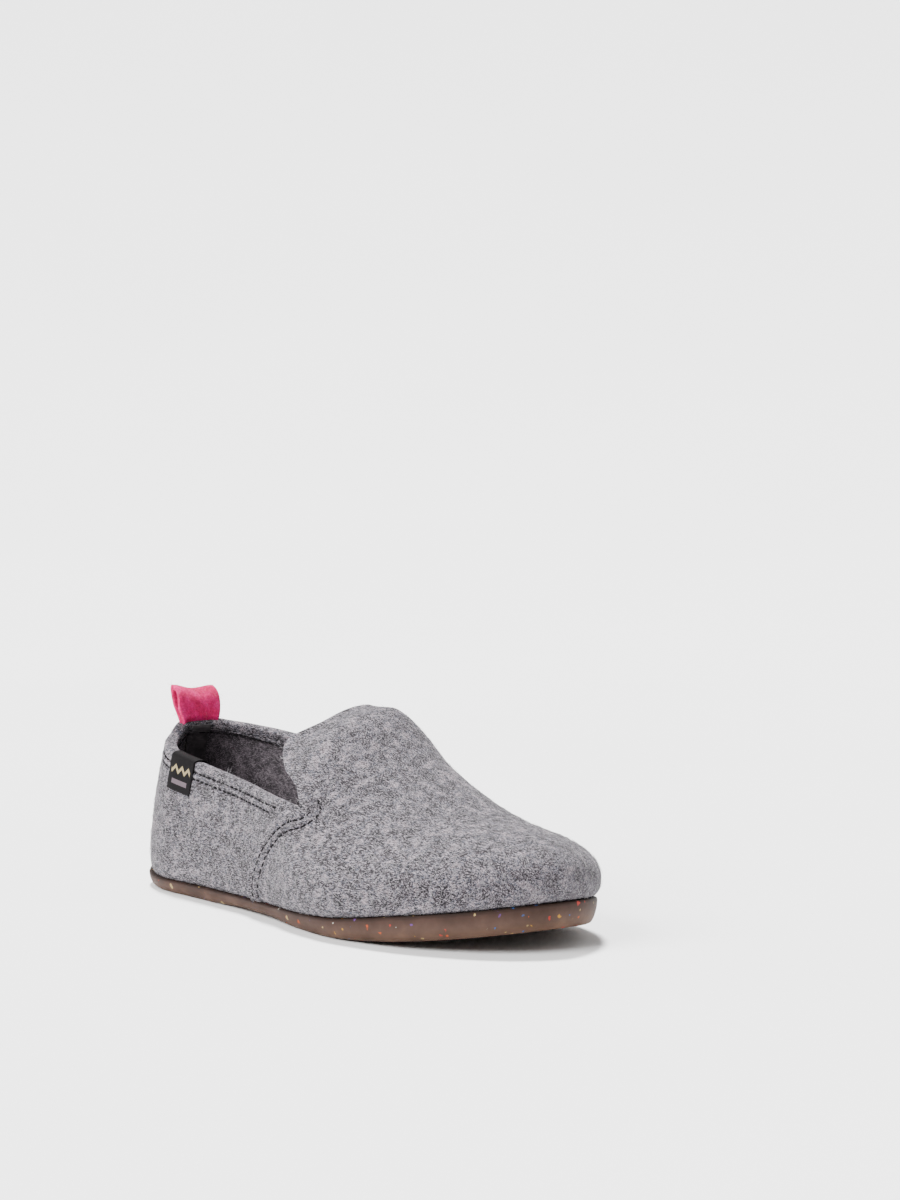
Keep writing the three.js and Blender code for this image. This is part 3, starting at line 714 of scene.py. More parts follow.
def share_at(reach, height, side):
    """Share of the length at which the wall is `reach` millimetres off the middle, near the heel."""
    near, far = np.zeros_like(reach), np.full_like(reach, 0.08)
    for _ in range(24):
        middle = (near + far) / 2
        point = last_point(middle, turn_at(middle, height, side), side)
        short = point[..., 1] * side < reach
        near, far = np.where(short, middle, near), np.where(short, far, middle)
    return near


def shade_strip_skin(away):
    """Grid across the dark strip and up it, at a distance inside the felt's or the lining's face."""
    across, up = np.linspace(0, SHADE_STRIP_WIDTH / 2, 7), np.linspace(*SHADE_STRIP_HEIGHTS, 30)
    reach, height = np.meshgrid(across, up, indexing="ij")
    halves = []
    for side in (OUTER, INNER):
        share = share_at(reach, height, side)
        turn = turn_at(share, height, side)
        points, normals = last_point(share, turn, side), last_normal(share, turn, side)
        below = HEEL_HEIGHT - height - hem_inside(points[..., 0])
        depth = lerp(HEM_WALL, LINING_FACE, smooth(-0.6, 0.9, below)) + 0.2 + away
        halves.append(points - normals * depth[..., None])
    return np.concatenate([halves[0][::-1], halves[1][1:]])


def shade_strip_finish():
    material, tree, surface = start_material(
        "heel_strip_painted_shade", {"Roughness": 0.85, "IOR": 1.55, "Sheen Weight": 0.1})
    place = in_millimetres(tree)
    ribs = add_node(tree, "TexWave", {"Scale": 0.35, "Distortion": 0.6, "Detail": 1.0}, {"Vector": place},
                    bands_direction="Z")
    strip_mottle = add_node(tree, "TexNoise", {"Scale": 0.3, "Detail": 3.0}, {"Vector": place})
    # The strip's dark tones are painted shade of the heel's inner corner, mottled by noise.
    tone = add_node(tree, "ValToRGB", links={"Fac": strip_mottle.outputs["Fac"]},
                    stops=[(0.35, linear("201c1e")), (0.65, linear("383235"))])
    bump = add_node(tree, "Bump", {"Strength": 0.5, "Distance": 0.00015}, {"Height": ribs.outputs["Fac"]})
    tree.links.new(tone.outputs["Color"], surface.inputs["Base Color"])
    tree.links.new(bump.outputs["Normal"], surface.inputs["Normal"])
    return material


inner_face, outer_face = shade_strip_skin(SHADE_STRIP_THICK), shade_strip_skin(0.0)
shade_strip_grids = [inner_face, outer_face]
shade_strip_grids += [strip(inner_face[end], outer_face[end]) for end in (0, -1)]
shade_strip_grids += [strip(inner_face[:, end], outer_face[:, end]) for end in (0, -1)]
weld("heel_shade_strip", shade_strip_grids, shade_strip_finish())

# %% [markdown]
# ## Thread
# A lock-stitch machine sews the hem and the lap with two rows. Each stitch is a short arch of thread that
# dives into the felt at both ends. They are real tubes of thread, laid along lines a set distance from
# the edge. Polyester thread is twisted, IOR about 1.6. It is kept matt, because gloss on a black thread
# this thin would only read as grey. A wave across it stands for the twist.

# %% Sewing thread
STITCH = 3.6
STITCH_GAP = 0.6
ROWS_STOP_AT = 0.965
THREAD = 0.42
print("each stitch is", STITCH, "mm, of thread", 2 * THREAD, "mm thick")


def thread_finish(name, colour):
    material, tree, surface = start_material(
        name, {"Roughness": 0.8, "IOR": 1.6, "Specular IOR Level": 0.08})
    place = in_millimetres(tree)
    twist = add_node(tree, "TexWave", {"Scale": 0.55, "Distortion": 1.5}, {"Vector": place},
                     bands_direction="DIAGONAL")
    shade = add_node(tree, "MapRange", {"To Min": 0.7, "To Max": 1.15}, {"Value": twist.outputs["Fac"]})
    colour_node = add_node(tree, "VectorMath", {0: linear(colour)[:3]}, {"Scale": shade.outputs["Result"]},
                           operation="SCALE")
    bump = add_node(tree, "Bump", {"Strength": 0.6, "Distance": 0.0001}, {"Height": twist.outputs["Fac"]})
    tree.links.new(colour_node.outputs["Vector"], surface.inputs["Base Color"])
    tree.links.new(bump.outputs["Normal"], surface.inputs["Normal"])
    return material


dark_thread = thread_finish("dark_polyester_thread", "131214")


def tubes(name, paths, normals, radii, sides, material):
    """Closed tubes along many paths (count, points, 3) at once, tapering as radii say."""
    paths, count, steps = np.asarray(paths), len(paths), paths.shape[1]
    along_path = unit(np.gradient(paths, axis=1))
    across = unit(np.cross(along_path, normals))
    above = np.cross(across, along_path)
    angle = np.linspace(0, 2 * np.pi, sides, endpoint=False)
    ring = np.cos(angle)[:, None] * across[:, :, None] + np.sin(angle)[:, None] * above[:, :, None]
    points = paths[:, :, None] + ring * np.asarray(radii)[..., None, None]
    index = np.arange(count * steps * sides).reshape(count, steps, sides)
    follow = np.roll(index, -1, axis=2)
    walls = np.stack([index[:, :-1], follow[:, :-1], follow[:, 1:], index[:, 1:]], axis=-1).reshape(-1, 4)
    caps = np.concatenate([index[:, 0, ::-1], index[:, -1]])
    return to_object(name, points.reshape(-1, 3), walls.tolist() + caps.tolist(), material, joined=0)


# %% Lines that run a set distance from the edge or the seam
def crossings(distance, values, target):
    """Along each row of `distance`, the values where it first reaches the target."""
    found = []
    for run, value in zip(distance, values):
        after = int(np.argmax(run > target))
        share = (target - run[after - 1]) / (run[after] - run[after - 1])
        found.append(lerp(value[after - 1], value[after], share))
    return np.array(found)


def hem_line(side, row, skin):
    """Points and normals of a stitch row below the collar's edge, from the back seam to the notch."""
    columns = slice(0, int(QUARTER_COLUMNS * ROWS_STOP_AT))
    distance = TO_EDGE[side][columns, ::-1]
    return [crossings(distance, part[columns, ::-1], row) for part in (skin, NORMALS[side])]


def lap_line(side, row):
    """Points and normals of a stitch row on the vamp, a set distance in front of its cut edge."""
    share, turn = vamp_edge(side, np.linspace(0.03, SEWN_UP_TO + SEWN_MORE * row, 80))
    near, far = share.copy(), share + 0.1
    for _ in range(24):
        middle = (near + far) / 2
        points = last_point(middle, turn, side)
        reach = row + lap_shift(points[:, 2] - sole_top(points[:, 0]) - GAP)
        short = distance_to(VAMP_EDGES[side], points) < reach
        near, far = np.where(short, middle, near), np.where(short, far, middle)
    points, normals = last_point(near, turn, side), last_normal(near, turn, side)
    to_edge = distance_to(EDGE_LINES[side], points)
    to_cut = distance_to(VAMP_EDGES[side], points)
    raised = vamp_relief(points, to_edge, distance_to(SEAM_LINES[side], points), to_cut)
    return points + normals * (raised + dents(points) + ripple(points))[:, None], normals


def run_along(line):
    """Distance along a line to each of its points."""
    return np.concatenate([[0], np.cumsum(np.linalg.norm(np.diff(line, axis=0), axis=1))])


def along_line(at, run, line):
    """Points of a line at given distances along it."""
    return np.stack([np.interp(at, run, line[:, i]) for i in range(3)], axis=-1)


upper_row = hem_line(OUTER, HEM_ROWS[0], SKIN[OUTER])[0]
print("the upper hem row is", round(float(run_along(upper_row)[-1])), "mm long")


def stitches(line, normals, proud=0.3, size=1.0):
    """Arched stitch paths along one line, their normals and the size of the thread."""
    run = run_along(line)
    count = int(run[-1] // STITCH)
    share = np.linspace(0, 1, 7)
    at = (np.arange(count)[:, None] + 0.5) * STITCH + (share - 0.5)[None, :] * (STITCH - STITCH_GAP)
    path = along_line(at, run, line)
    normal = unit(along_line(at, run, normals))
    rise = proud * np.sin(share * np.pi) ** 0.7 - 0.12
    return path + normal * rise[None, :, None], normal, np.full((count, 1), size)


# %% Stitch rows on the hem, inside it, and along the lap
STITCH_TAPER = np.array([0.35, 0.85, 1, 1, 1, 0.85, 0.35]) * THREAD
sewn = []
for side in (OUTER, INNER):
    turned_in = inner_skin(side, HEM_WALL - 0.4)
    for row, inside_row in zip(HEM_ROWS, INSIDE_ROWS):
        sewn.append(stitches(*hem_line(side, row, SKIN[side])))
        line, normals = hem_line(side, inside_row, turned_in)
        sewn.append(stitches(line, -normals, proud=0.1, size=0.6))
    for row in LAP_ROWS:
        sewn.append(stitches(*lap_line(side, row)))
paths, normals, sizes = (np.concatenate(part) for part in zip(*sewn))
tubes("seam_stitches", paths, normals, STITCH_TAPER * sizes, 6, dark_thread)
print("stitches:", len(paths))

# %% [markdown]
# ## Loose fibres
# Felt is never smooth at its outline: single wool fibres stand off the surface. A hair system would do it
# in the viewport, but it isn't kept as geometry, so each fibre is a thin three-sided tube with a seeded
# random bend. Real wool is 0.03 mm thick, too fine to show, so these are drawn at about 0.1 mm.

# %% Scattering fibres over the skin
def fibre_finish(name, colour):
    material, tree, surface = start_material(name, {"Roughness": 0.7, "IOR": 1.55, "Sheen Weight": 0.4})
    place = in_millimetres(tree)
    tone = add_node(tree, "TexNoise", {"Scale": 0.35, "Detail": 1.0}, {"Vector": place})
    shade = add_node(tree, "MapRange", {"To Min": 0.6, "To Max": 1.4}, {"Value": tone.outputs["Fac"]})
    tinted = add_node(tree, "VectorMath", {0: linear(colour)[:3]}, {"Scale": shade.outputs["Result"]},
                      operation="SCALE")
    tree.links.new(tinted.outputs["Vector"], surface.inputs["Base Color"])
    return material


def scatter(skins, normals, count, seed):
    """Random points and normals, spread evenly by area over several grids."""
    chance = np.random.default_rng(seed)
    cells, frames = [], []
    for skin, normal in zip(skins, normals):
        corners = np.stack([skin[:-1, :-1], skin[1:, :-1], skin[1:, 1:], skin[:-1, 1:]], axis=2)
        cells.append(corners.reshape(-1, 4, 3))
        frames.append(normal[:-1, :-1].reshape(-1, 3))
    cells, frames = np.concatenate(cells), np.concatenate(frames)
    area = np.linalg.norm(np.cross(cells[:, 2] - cells[:, 0], cells[:, 3] - cells[:, 1]), axis=1)
    chosen = chance.choice(len(cells), count, p=area / area.sum())
    a, b = chance.random((2, count, 1))
    corner = cells[chosen]
    low, high = lerp(corner[:, 0], corner[:, 1], a), lerp(corner[:, 3], corner[:, 2], a)
    return lerp(low, high, b), frames[chosen], chance


def fibres(name, count, seed, colour, skins, normals, length=(2.0, 4.5), stand=0.4, thick=0.055):
    start, normal, chance = scatter(skins, normals, count, seed)
    way = unit(np.cross(normal, unit(chance.normal(size=(count, 3)))))
    bend = np.cross(normal, way) * chance.uniform(-1.2, 1.2, (count, 1))
    share = np.linspace(0, 1, 5)[None, :, None]
    size = chance.uniform(*length, (count, 1, 1))
    lie = size * (share * way[:, None] + share**2 * bend[:, None] * 0.5)
    proud = stand * chance.random((count, 1, 1)) ** 2
    rise = proud * np.sin(share * np.pi * chance.uniform(0.5, 1, (count, 1, 1)))
    path = start[:, None] + lie + normal[:, None] * (rise + 0.05)
    frames = np.repeat(normal[:, None], 5, axis=1)
    radii = thick * np.array([0.7, 1, 1, 0.8, 0.35])[None, :]
    return tubes(name, path, frames, radii, 3, fibre_finish(name + "_wool", colour))


skins = [SKIN[side][::2, ::2] for side in (OUTER, INNER)]
skin_normals = [NORMALS[side][::2, ::2] for side in (OUTER, INNER)]
fibres("pale_fibres", 2600, 11, "8f8b8e", skins, skin_normals)
fibres("dark_fibres", 2200, 12, "37363a", skins, skin_normals)

# %% [markdown]
# ## The rubber sole
# The sole is one moulded cup of recycled rubber, smoky and a little see-through, with chips of coloured
# scrap in it. It has soft moulded edges, a toe that springs off the floor and shallow wavy bars
# underneath. Rubber has an IOR near 1.52. A little light goes in and comes out again nearby, so it gets
# some subsurface.

# %% The sole's skin: rings down its side, then a grid across the tread
SOLE_RUNS = (1 - np.cos(np.linspace(0, np.pi, 221))) / 2
SIDE_STEPS = np.concatenate([[0, 0.02, 0.06], np.linspace(0.12, 0.94, 12), [0.97, 0.99, 1]])
SOLE_LIP = 0.4
TREAD_ACROSS = 44
TREAD_PITCH = 6.0
TREAD_DEPTH = 0.9
print("the sole's side has", len(SIDE_STEPS), "rings of", len(SOLE_RUNS), "points")


def ring(side, inset, height):
    plan = sole_outline(SOLE_RUNS, side, inset)
    return np.stack([plan[:, 0], plan[:, 1], height(plan[:, 0])], axis=-1)


def side_ring(side, down):
    inset = SOLE_TAPER * float(along(SOLE_SIDE, "inset", down)) + 0.5 * (1 - min(down / 0.06, 1)) ** 2
    lip = SOLE_LIP * max(0, 1 - down / 0.06)
    return ring(side, inset, lambda x: lerp(sole_top(x), sole_bottom(x), down) + lip)


def tread():
    left, right = side_ring(OUTER, 1.0), side_ring(INNER, 1.0)
    share = np.linspace(0, 1, TREAD_ACROSS + 1)[None, :, None]
    grid = lerp(left[:, None], right[:, None], share)
    x, y = grid[..., 0], grid[..., 1]
    border = np.minimum(np.abs(y - left[:, None, 1]), np.abs(right[:, None, 1] - y))
    inside = smooth(2.5, 4.5, border) * smooth(4, 9, x) * smooth(4, 9, SOLE_LENGTH - x)
    wave = np.sin(2 * np.pi * (x + 2.2 * np.sin(y / 4.2)) / TREAD_PITCH)
    grid[..., 2] += TREAD_DEPTH * inside * smooth(-0.15, 0.5, wave)
    return grid


# %% Smoky rubber with chips
# For each size of chip: its cell in millimetres, how rare it is, and how much of the cell it fills.
CHIPS = [(5.5, 0.5, 0.14), (2.4, 0.76, 0.18)]
CHIP_TONES = [(0.0, "a08a5e"), (0.25, "a0302a"), (0.42, "a87c2a"), (0.55, "5c3a78"), (0.68, "24558c"),
              (0.82, "a8a29a"), (0.9, "b04a22")]


def rubber():
    material, tree, surface = start_material("smoky_recycled_rubber", {
        "Roughness": 0.65, "IOR": 1.52, "Specular IOR Level": 0.1,
        "Subsurface Weight": 0.15, "Subsurface Radius": (1.0, 0.55, 0.4), "Subsurface Scale": 0.003,
    })
    place = in_millimetres(tree)
    cloud = add_node(tree, "TexNoise", {"Scale": 1 / 14, "Detail": 4.0, "Roughness": 0.55},
                     {"Vector": place})
    smoke = add_node(tree, "ValToRGB", links={"Fac": cloud.outputs["Fac"]},
                     stops=[(0.3, linear("41342f")), (0.55, linear("53433d")), (0.75, linear("635149"))])
    # Painted shade: the sole's side is darkest in a thin band just under the felt and stays darker in its
    # upper part, where the felt overhangs it. It grows lighter and warmer towards the floor.
    down = add_node(tree, "Attribute", attribute_name="down_the_side")
    warm = add_node(tree, "ValToRGB", links={"Fac": down.outputs["Fac"]},
                    stops=[(0.0, linear("7a6c66")), (0.14, linear("b8aaa4")), (0.55, linear("ece2da")),
                           (0.92, linear("fff2dc"))])
    colour = add_node(tree, "Mix", {0: 1.0}, {6: smoke.outputs["Color"], 7: warm.outputs["Color"]},
                      data_type="RGBA", blend_type="MULTIPLY").outputs[2]
    warp = add_node(tree, "TexNoise", {"Scale": 0.6, "Detail": 2.0}, {"Vector": place})
    pushed = add_node(tree, "VectorMath", {1: (2.4, 2.4, 2.4)}, {0: warp.outputs["Color"], 2: place},
                      operation="MULTIPLY_ADD")
    for size, rarity, reach in CHIPS:
        cells = add_node(tree, "TexVoronoi", {"Scale": 1 / size, "Randomness": 1.0},
                         {"Vector": pushed.outputs["Vector"]})
        parts = add_node(tree, "SeparateColor", links={0: cells.outputs["Color"]})
        rare = add_node(tree, "Math", {1: rarity}, {0: parts.outputs[0]}, operation="GREATER_THAN")
        near = add_node(tree, "MapRange", {"From Min": reach, "From Max": reach + 0.07, "To Min": 0.85,
                                                     "To Max": 0.0}, {"Value": cells.outputs["Distance"]})
        mask = add_node(tree, "Math", links={0: rare.outputs[0], 1: near.outputs[0]}, operation="MULTIPLY")
        chip = add_node(tree, "ValToRGB", links={"Fac": parts.outputs[1]},
                        stops=[(at, linear(tone)) for at, tone in CHIP_TONES])
        chip.color_ramp.interpolation = "CONSTANT"
        colour = add_node(tree, "Mix", links={0: mask.outputs[0], 6: colour, 7: chip.outputs["Color"]},
                          data_type="RGBA").outputs[2]
    scuff = add_node(tree, "TexNoise", {"Scale": 1.4, "Detail": 3.0}, {"Vector": place})
    bump = add_node(tree, "Bump", {"Strength": 0.25, "Distance": 0.00015}, {"Height": scuff.outputs["Fac"]})
    tree.links.new(colour, surface.inputs["Base Color"])
    tree.links.new(bump.outputs["Normal"], surface.inputs["Normal"])
    return material


smoky_rubber = rubber()
sole_grids = [np.stack([side_ring(side, float(d)) for d in SIDE_STEPS], axis=1) for side in (OUTER, INNER)]
sole_grids.append(strip(side_ring(OUTER, 0.0), side_ring(INNER, 0.0)))
sole_grids.append(tread())
sole = weld("rubber_sole", sole_grids, smoky_rubber)
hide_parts("outsole")


def mark_side(piece):
    """Stores how far down the sole's side each point lies, 0 at the felt and 1 at the floor's edge."""
    marks = piece.data.attributes.new("down_the_side", "FLOAT", "POINT")
    places = np.array([vertex.co for vertex in piece.data.vertices]) * 1000 - HEEL_BACK
    high, low = sole_top(places[:, 0]), sole_bottom(places[:, 0])
    for mark, down in zip(marks.data, (high - places[:, 2]) / (high - low)):
        mark.value = float(down)


mark_side(sole)

# %% [markdown]
# ## The felt footbed
# A die-cut pad of the same charcoal felt lies on the sole. Its edge is softly rounded and a heel has
# pressed a shallow dish into it.

# %% The footbed
INSOLE_THICK = 4.0
FOOTBED_ACROSS = 24


def footbed_ring(side, inset, above):
    return ring(side, FEATHER_INSET + WALL + GAP + inset, lambda x: sole_top(x) + GAP + above)


def footbed_top(above):
    left, right = footbed_ring(OUTER, 1.2, above), footbed_ring(INNER, 1.2, above)
    grid = lerp(left[:, None], right[:, None], np.linspace(0, 1, FOOTBED_ACROSS + 1)[None, :, None])
    x, y = grid[..., 0], grid[..., 1]
    border = np.minimum(np.abs(y - left[:, None, 1]), np.abs(right[:, None, 1] - y))
    dish = 0.7 * bell(np.hypot(x - 42, y * 1.3), 34) + 0.5 * bell(np.hypot(x - 180, y), 40)
    grid[..., 2] -= dish * smooth(0, 8, border)
    return grid


steps = [(0.0, 0.0), (0.0, 2.6), (0.15, 3.3), (0.5, 3.8), (1.2, INSOLE_THICK)]
bed_grids = [np.stack([footbed_ring(side, *step) for step in steps], axis=1) for side in (OUTER, INNER)]
bed_grids.append(strip(footbed_ring(OUTER, 0.0, 0.0), footbed_ring(INNER, 0.0, 0.0)))
bed_grids.append(footbed_top(INSOLE_THICK))
footbed = weld("felt_footbed", bed_grids, charcoal_felt)
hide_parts("insole")

# %% [markdown]
# ## The pull loop
# A strap of soft pink felt is folded into a loop, its two ends pressed together between the layers of the
# hem. It is swept like a belt: a line for the fold, and a flat rounded section across it. It leans back a
# little and its sides flare, because the strap is stiffer than the curved rim it is sewn to.

# %% The rim, measured from the back seam
LOOP_WIDTH, LOOP_STRAP, LOOP_RISE, LOOP_DEPTH = 21.0, 2.0, 16.0, 8.4
LOOP_CROTCH, LOOP_TAIL_DEPTH = 2.6, 7.0
LOOP_LEAN, LOOP_LEAN_POWER, LOOP_TILT = 7.4, 1.3, 1.5
LOOP_WAVE, LOOP_SETTLE = 0.7, 0.45
LOOP_BOW = {"low": 0.6, "knee": 0.5, "high": 1.45}


def rim_table():
    """Edge, way up and way out along the collar, by distance from the back seam, inner side positive."""
    rows = {}
    for side in (OUTER, INNER):
        t = np.linspace(0, 0.9, 300)
        split = lerp(QUARTER_WAIST, 1, 1 - np.cos(t * np.pi / 2))
        top = quarter_place(t, np.ones_like(t), side)
        low = quarter_place(t, split + (1 - split) * 0.9, side)
        edge = last_point(*top, side)
        way_up, way_out = unit(edge - last_point(*low, side)), last_normal(*top, side)
        rows[side] = (side * run_along(edge), edge, way_up, way_out, top[0])
    return [np.concatenate([a[::-1], b[1:]]) for a, b in zip(rows[OUTER], rows[INNER])]


RIM = rim_table()
print("the rim is", round(float(RIM[0][-1] - RIM[0][0])), "mm long from notch to notch")


def rim_at(distance):
    edge, way_up, way_out = (along_line(distance, RIM[0], part) for part in RIM[1:4])
    return edge, unit(way_up), unit(way_out)


def by_rim(distance, out, up):
    edge, way_up, way_out = rim_at(distance)
    return edge + way_out * (np.asarray(out) - HEM_WALL / 2)[..., None] + way_up * np.asarray(up)[..., None]


def loop_point(distance, out, up):
    point = by_rim(distance, out, up)
    share = np.maximum(up, 0) / LOOP_RISE
    crest = -LOOP_WAVE * np.cos(2 * np.pi * distance / LOOP_WIDTH)
    crest = crest - LOOP_TILT * (0.5 + distance / LOOP_WIDTH)
    straight = by_rim(np.zeros_like(distance), out, up + crest * share)
    straight[..., 1] += distance
    straight[..., 0] -= LOOP_LEAN * share**LOOP_LEAN_POWER
    return lerp(point, straight, smooth(0, LOOP_SETTLE, share)[..., None])


# %% A flat section swept along the folded strap
def belt_section(width, thick, across=18, corner=4):
    """Rounded flat section: offsets across the width and through the thickness, once round."""
    half, round_off = width / 2, thick / 2
    flat = np.linspace(-1, 1, across) * (half - round_off * 0.6)
    bend = np.linspace(np.pi / 2, -np.pi / 2, corner + 2)[1:-1]
    beyond = half - round_off * 0.6 + np.cos(bend) * round_off * 0.6
    edge = np.stack([beyond, np.sin(bend) * round_off], axis=-1)
    top = np.stack([flat, np.full(across, round_off)], axis=-1)
    return np.concatenate([top, edge, top[::-1] * [1, -1], edge[::-1] * [-1, 1]])


def fold_line():
    """Centre line of the folded strap and its half thickness: up one leg, round the bow, down the other."""
    half, top = (LOOP_DEPTH - LOOP_STRAP) / 2, LOOP_RISE - LOOP_STRAP / 2
    knee, shoulder = [half * LOOP_BOW["low"], LOOP_RISE * LOOP_BOW["knee"]], [half * LOOP_BOW["high"], top]
    corners = np.array([[LOOP_STRAP / 2, LOOP_CROTCH], knee, shoulder, [0, top]])
    s = np.linspace(0, 1, 22)[:, None]
    bow = ((1 - s) ** 3 * corners[0] + 3 * (1 - s) ** 2 * s * corners[1] + 3 * (1 - s) * s**2 * corners[2]
           + s**3 * corners[3])
    leg = np.array([[0.37, -LOOP_TAIL_DEPTH + 0.4], [0.37, -3.5], [0.45, 0.2], [0.75, 1.4]])
    right = np.concatenate([leg, bow])
    thick = np.concatenate([[0.35, 0.35, 0.42, 0.72], np.ones(22)]) * LOOP_STRAP
    return np.concatenate([right * [-1, 1], right[::-1][1:]]), np.concatenate([thick, thick[::-1][1:]])


line, thick = fold_line()
step = unit(np.gradient(line, axis=0))
through = np.stack([-step[:, 1], step[:, 0]], axis=-1)
section = belt_section(LOOP_WIDTH, 1.0)
wobble = 1 + 0.05 * np.sin(section[None, :, 0] / 2.1 + line[:, None, 1] / 3.3)
tail_out = 1.0 * smooth(0, 2.5, -line[:, 1])
flesh = section[None, :, 1] * thick[:, None] * wobble
out = line[:, None, 0] + tail_out[:, None] + through[:, None, 0] * flesh
up = line[:, None, 1] + through[:, None, 1] * flesh
reach = np.broadcast_to(section[None, :, 0], out.shape)
strap = loop_point(reach, out, up)
strap_grid = np.concatenate([strap, strap[:, :1]], axis=1)
pairs = len(section) // 2
caps = [strip(strap[end, :pairs], strap[end, ::-1][:pairs]) for end in (0, -1)]
pink_felt = felt("pink_brushed_felt", ("b4084a", "c20e58", "d01466", "dc2676"), "9c083e", "e03a7e",
                 blotch=5.0, grain=1.0, contrast=0.4, sheen=0.03)
loop = weld("pull_strap", [strap_grid, *caps], pink_felt)
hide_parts("pull_loop")

# %% Fuzz on the strap
strap_out = [strap[:, :pairs], strap[:, pairs:]]
fold_normals = [unit(np.cross(np.gradient(grid, axis=0), np.gradient(grid, axis=1))) for grid in strap_out]
fibres("pink_fibres", 500, 13, "bc1456", strap_out, fold_normals, length=(1.5, 3.5), stand=0.5)

# %% [markdown]
# ## The edge label
# A narrow satin label, woven black, is folded over the outer side of the collar and caught by the hem's
# stitches. It carries a plain woven zigzag and a bar. Black satin shows as dark grey under a lamp, so its
# gloss is kept low.

# %% The label's woven face
LABEL_LENGTH, LABEL_DROP, LABEL_TUCK, LABEL_THICK, LABEL_GAP, LABEL_AT = 18.0, 13.6, 8.0, 0.6, 0.5, 43.5
LABEL_MIDDLE = 9.0
ZIGZAG = {"down": 3.4, "tooth": 2.4, "half": 0.85, "reach": 7.2}
BAR = {"down": 9.8, "half": 1.0, "reach": 5.8}


def woven_label():
    """Black satin with a cream zigzag above a mauve bar, made from the millimetres across and down it."""
    material, tree, surface = start_material("black_woven_satin", {"Roughness": 0.7, "IOR": 1.55,
                                                                   "Specular IOR Level": 0.06})
    place = add_node(tree, "Attribute", attribute_name="label_mm")
    parts = add_node(tree, "SeparateXYZ", links={0: place.outputs["Vector"]})
    across, down = parts.outputs[0], parts.outputs[1]
    tooth = add_node(tree, "Math", {1: ZIGZAG["tooth"]}, {0: across}, operation="PINGPONG")
    off = add_node(tree, "Math", links={0: down, 1: tooth.outputs[0]}, operation="SUBTRACT")
    line = add_node(tree, "Math", {1: ZIGZAG["down"], 2: ZIGZAG["half"]}, {0: off.outputs[0]},
                    operation="COMPARE")
    wide = add_node(tree, "Math", {1: LABEL_MIDDLE, 2: ZIGZAG["reach"]}, {0: across}, operation="COMPARE")
    zigzag = add_node(tree, "Math", links={0: line.outputs[0], 1: wide.outputs[0]}, operation="MULTIPLY")
    deep = add_node(tree, "Math", {1: BAR["down"], 2: BAR["half"]}, {0: down}, operation="COMPARE")
    long = add_node(tree, "Math", {1: LABEL_MIDDLE, 2: BAR["reach"]}, {0: across}, operation="COMPARE")
    bar = add_node(tree, "Math", links={0: deep.outputs[0], 1: long.outputs[0]}, operation="MULTIPLY")
    warp = add_node(tree, "TexWave", {"Scale": 0.9, "Distortion": 0.4}, {"Vector": place.outputs["Vector"]},
                    bands_direction="Y")
    weft = add_node(tree, "TexWave", {"Scale": 0.7, "Distortion": 0.4}, {"Vector": place.outputs["Vector"]},
                    bands_direction="X")
    weave = add_node(tree, "Math", links={0: warp.outputs["Fac"], 1: weft.outputs["Fac"]},
                     operation="MULTIPLY")
    black = add_node(tree, "ValToRGB", links={"Fac": weave.outputs[0]},
                     stops=[(0.0, linear("080708")), (1.0, linear("181416"))])
    cream = add_node(tree, "Mix", {7: linear("8f8263")}, {0: zigzag.outputs[0], 6: black.outputs["Color"]},
                     data_type="RGBA")
    mauve = add_node(tree, "Mix", {7: linear("5b5056")}, {0: bar.outputs[0], 6: cream.outputs[2]},
                     data_type="RGBA")
    height = add_node(tree, "Math", links={0: weave.outputs[0], 1: zigzag.outputs[0]}, operation="ADD")
    bump = add_node(tree, "Bump", {"Strength": 0.5, "Distance": 0.00012}, {"Height": height.outputs[0]})
    tree.links.new(mauve.outputs[2], surface.inputs["Base Color"])
    tree.links.new(bump.outputs["Normal"], surface.inputs["Normal"])
    return material


print("label:", LABEL_LENGTH, "mm wide,", LABEL_DROP, "mm down outside,", LABEL_TUCK, "mm down inside")


# %% Folding the label over the rim
def label_skin(away):
    """Grid along the collar and down the label, at a distance from the felt."""
    distance = -LABEL_AT - np.linspace(0, 1, 25) * LABEL_LENGTH
    edge, way_up, way_out = rim_at(distance)
    share = np.interp(distance, RIM[0], RIM[4])
    height = edge[:, 2] - sole_top(edge[:, 0]) - GAP
    rows = []
    for drop in np.linspace(LABEL_DROP, 1.5, 18):
        turn = turn_at(share, height - drop, OUTER)
        rows.append(last_point(share, turn, OUTER) + last_normal(share, turn, OUTER) * away)
    half = HEM_WALL / 2 + away
    for angle in np.linspace(0, np.pi, 11):
        over, rise = half * np.cos(angle), (RIM_RISE + away) * np.sin(angle)
        rows.append(by_rim(distance, np.full(25, over), np.full(25, rise)))
    for depth in np.linspace(0.8, LABEL_TUCK, 8):
        rows.append(by_rim(distance, np.full(25, -half), np.full(25, -depth)))
    return np.stack(rows, axis=1)


near, far = label_skin(LABEL_GAP - 0.2), label_skin(LABEL_GAP + LABEL_THICK - 0.2)
label_faces = [far, near, strip(near[:, 0], far[:, 0]), strip(near[:, -1], far[:, -1]),
               strip(near[0], far[0]), strip(near[-1], far[-1])]
label = weld("woven_label", label_faces, woven_label())
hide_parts("edge_label")


def mark_label(piece):
    """Stores how far along and down the label each point lies, for its woven pattern."""
    flat = far.reshape(-1, 3)
    run = np.repeat(np.linspace(0, LABEL_LENGTH, far.shape[0]), far.shape[1])
    fall = np.tile(run_along(far[12]), far.shape[0])
    marks = piece.data.attributes.new("label_mm", "FLOAT_VECTOR", "POINT")
    for vertex, mark in zip(piece.data.vertices, marks.data):
        here = np.array(vertex.co) * 1000 - HEEL_BACK
        nearest = int(np.argmin(((flat - here) ** 2).sum(axis=1)))
        mark.vector = (run[nearest], LABEL_DROP - fall[nearest], 0.0)


mark_label(label)

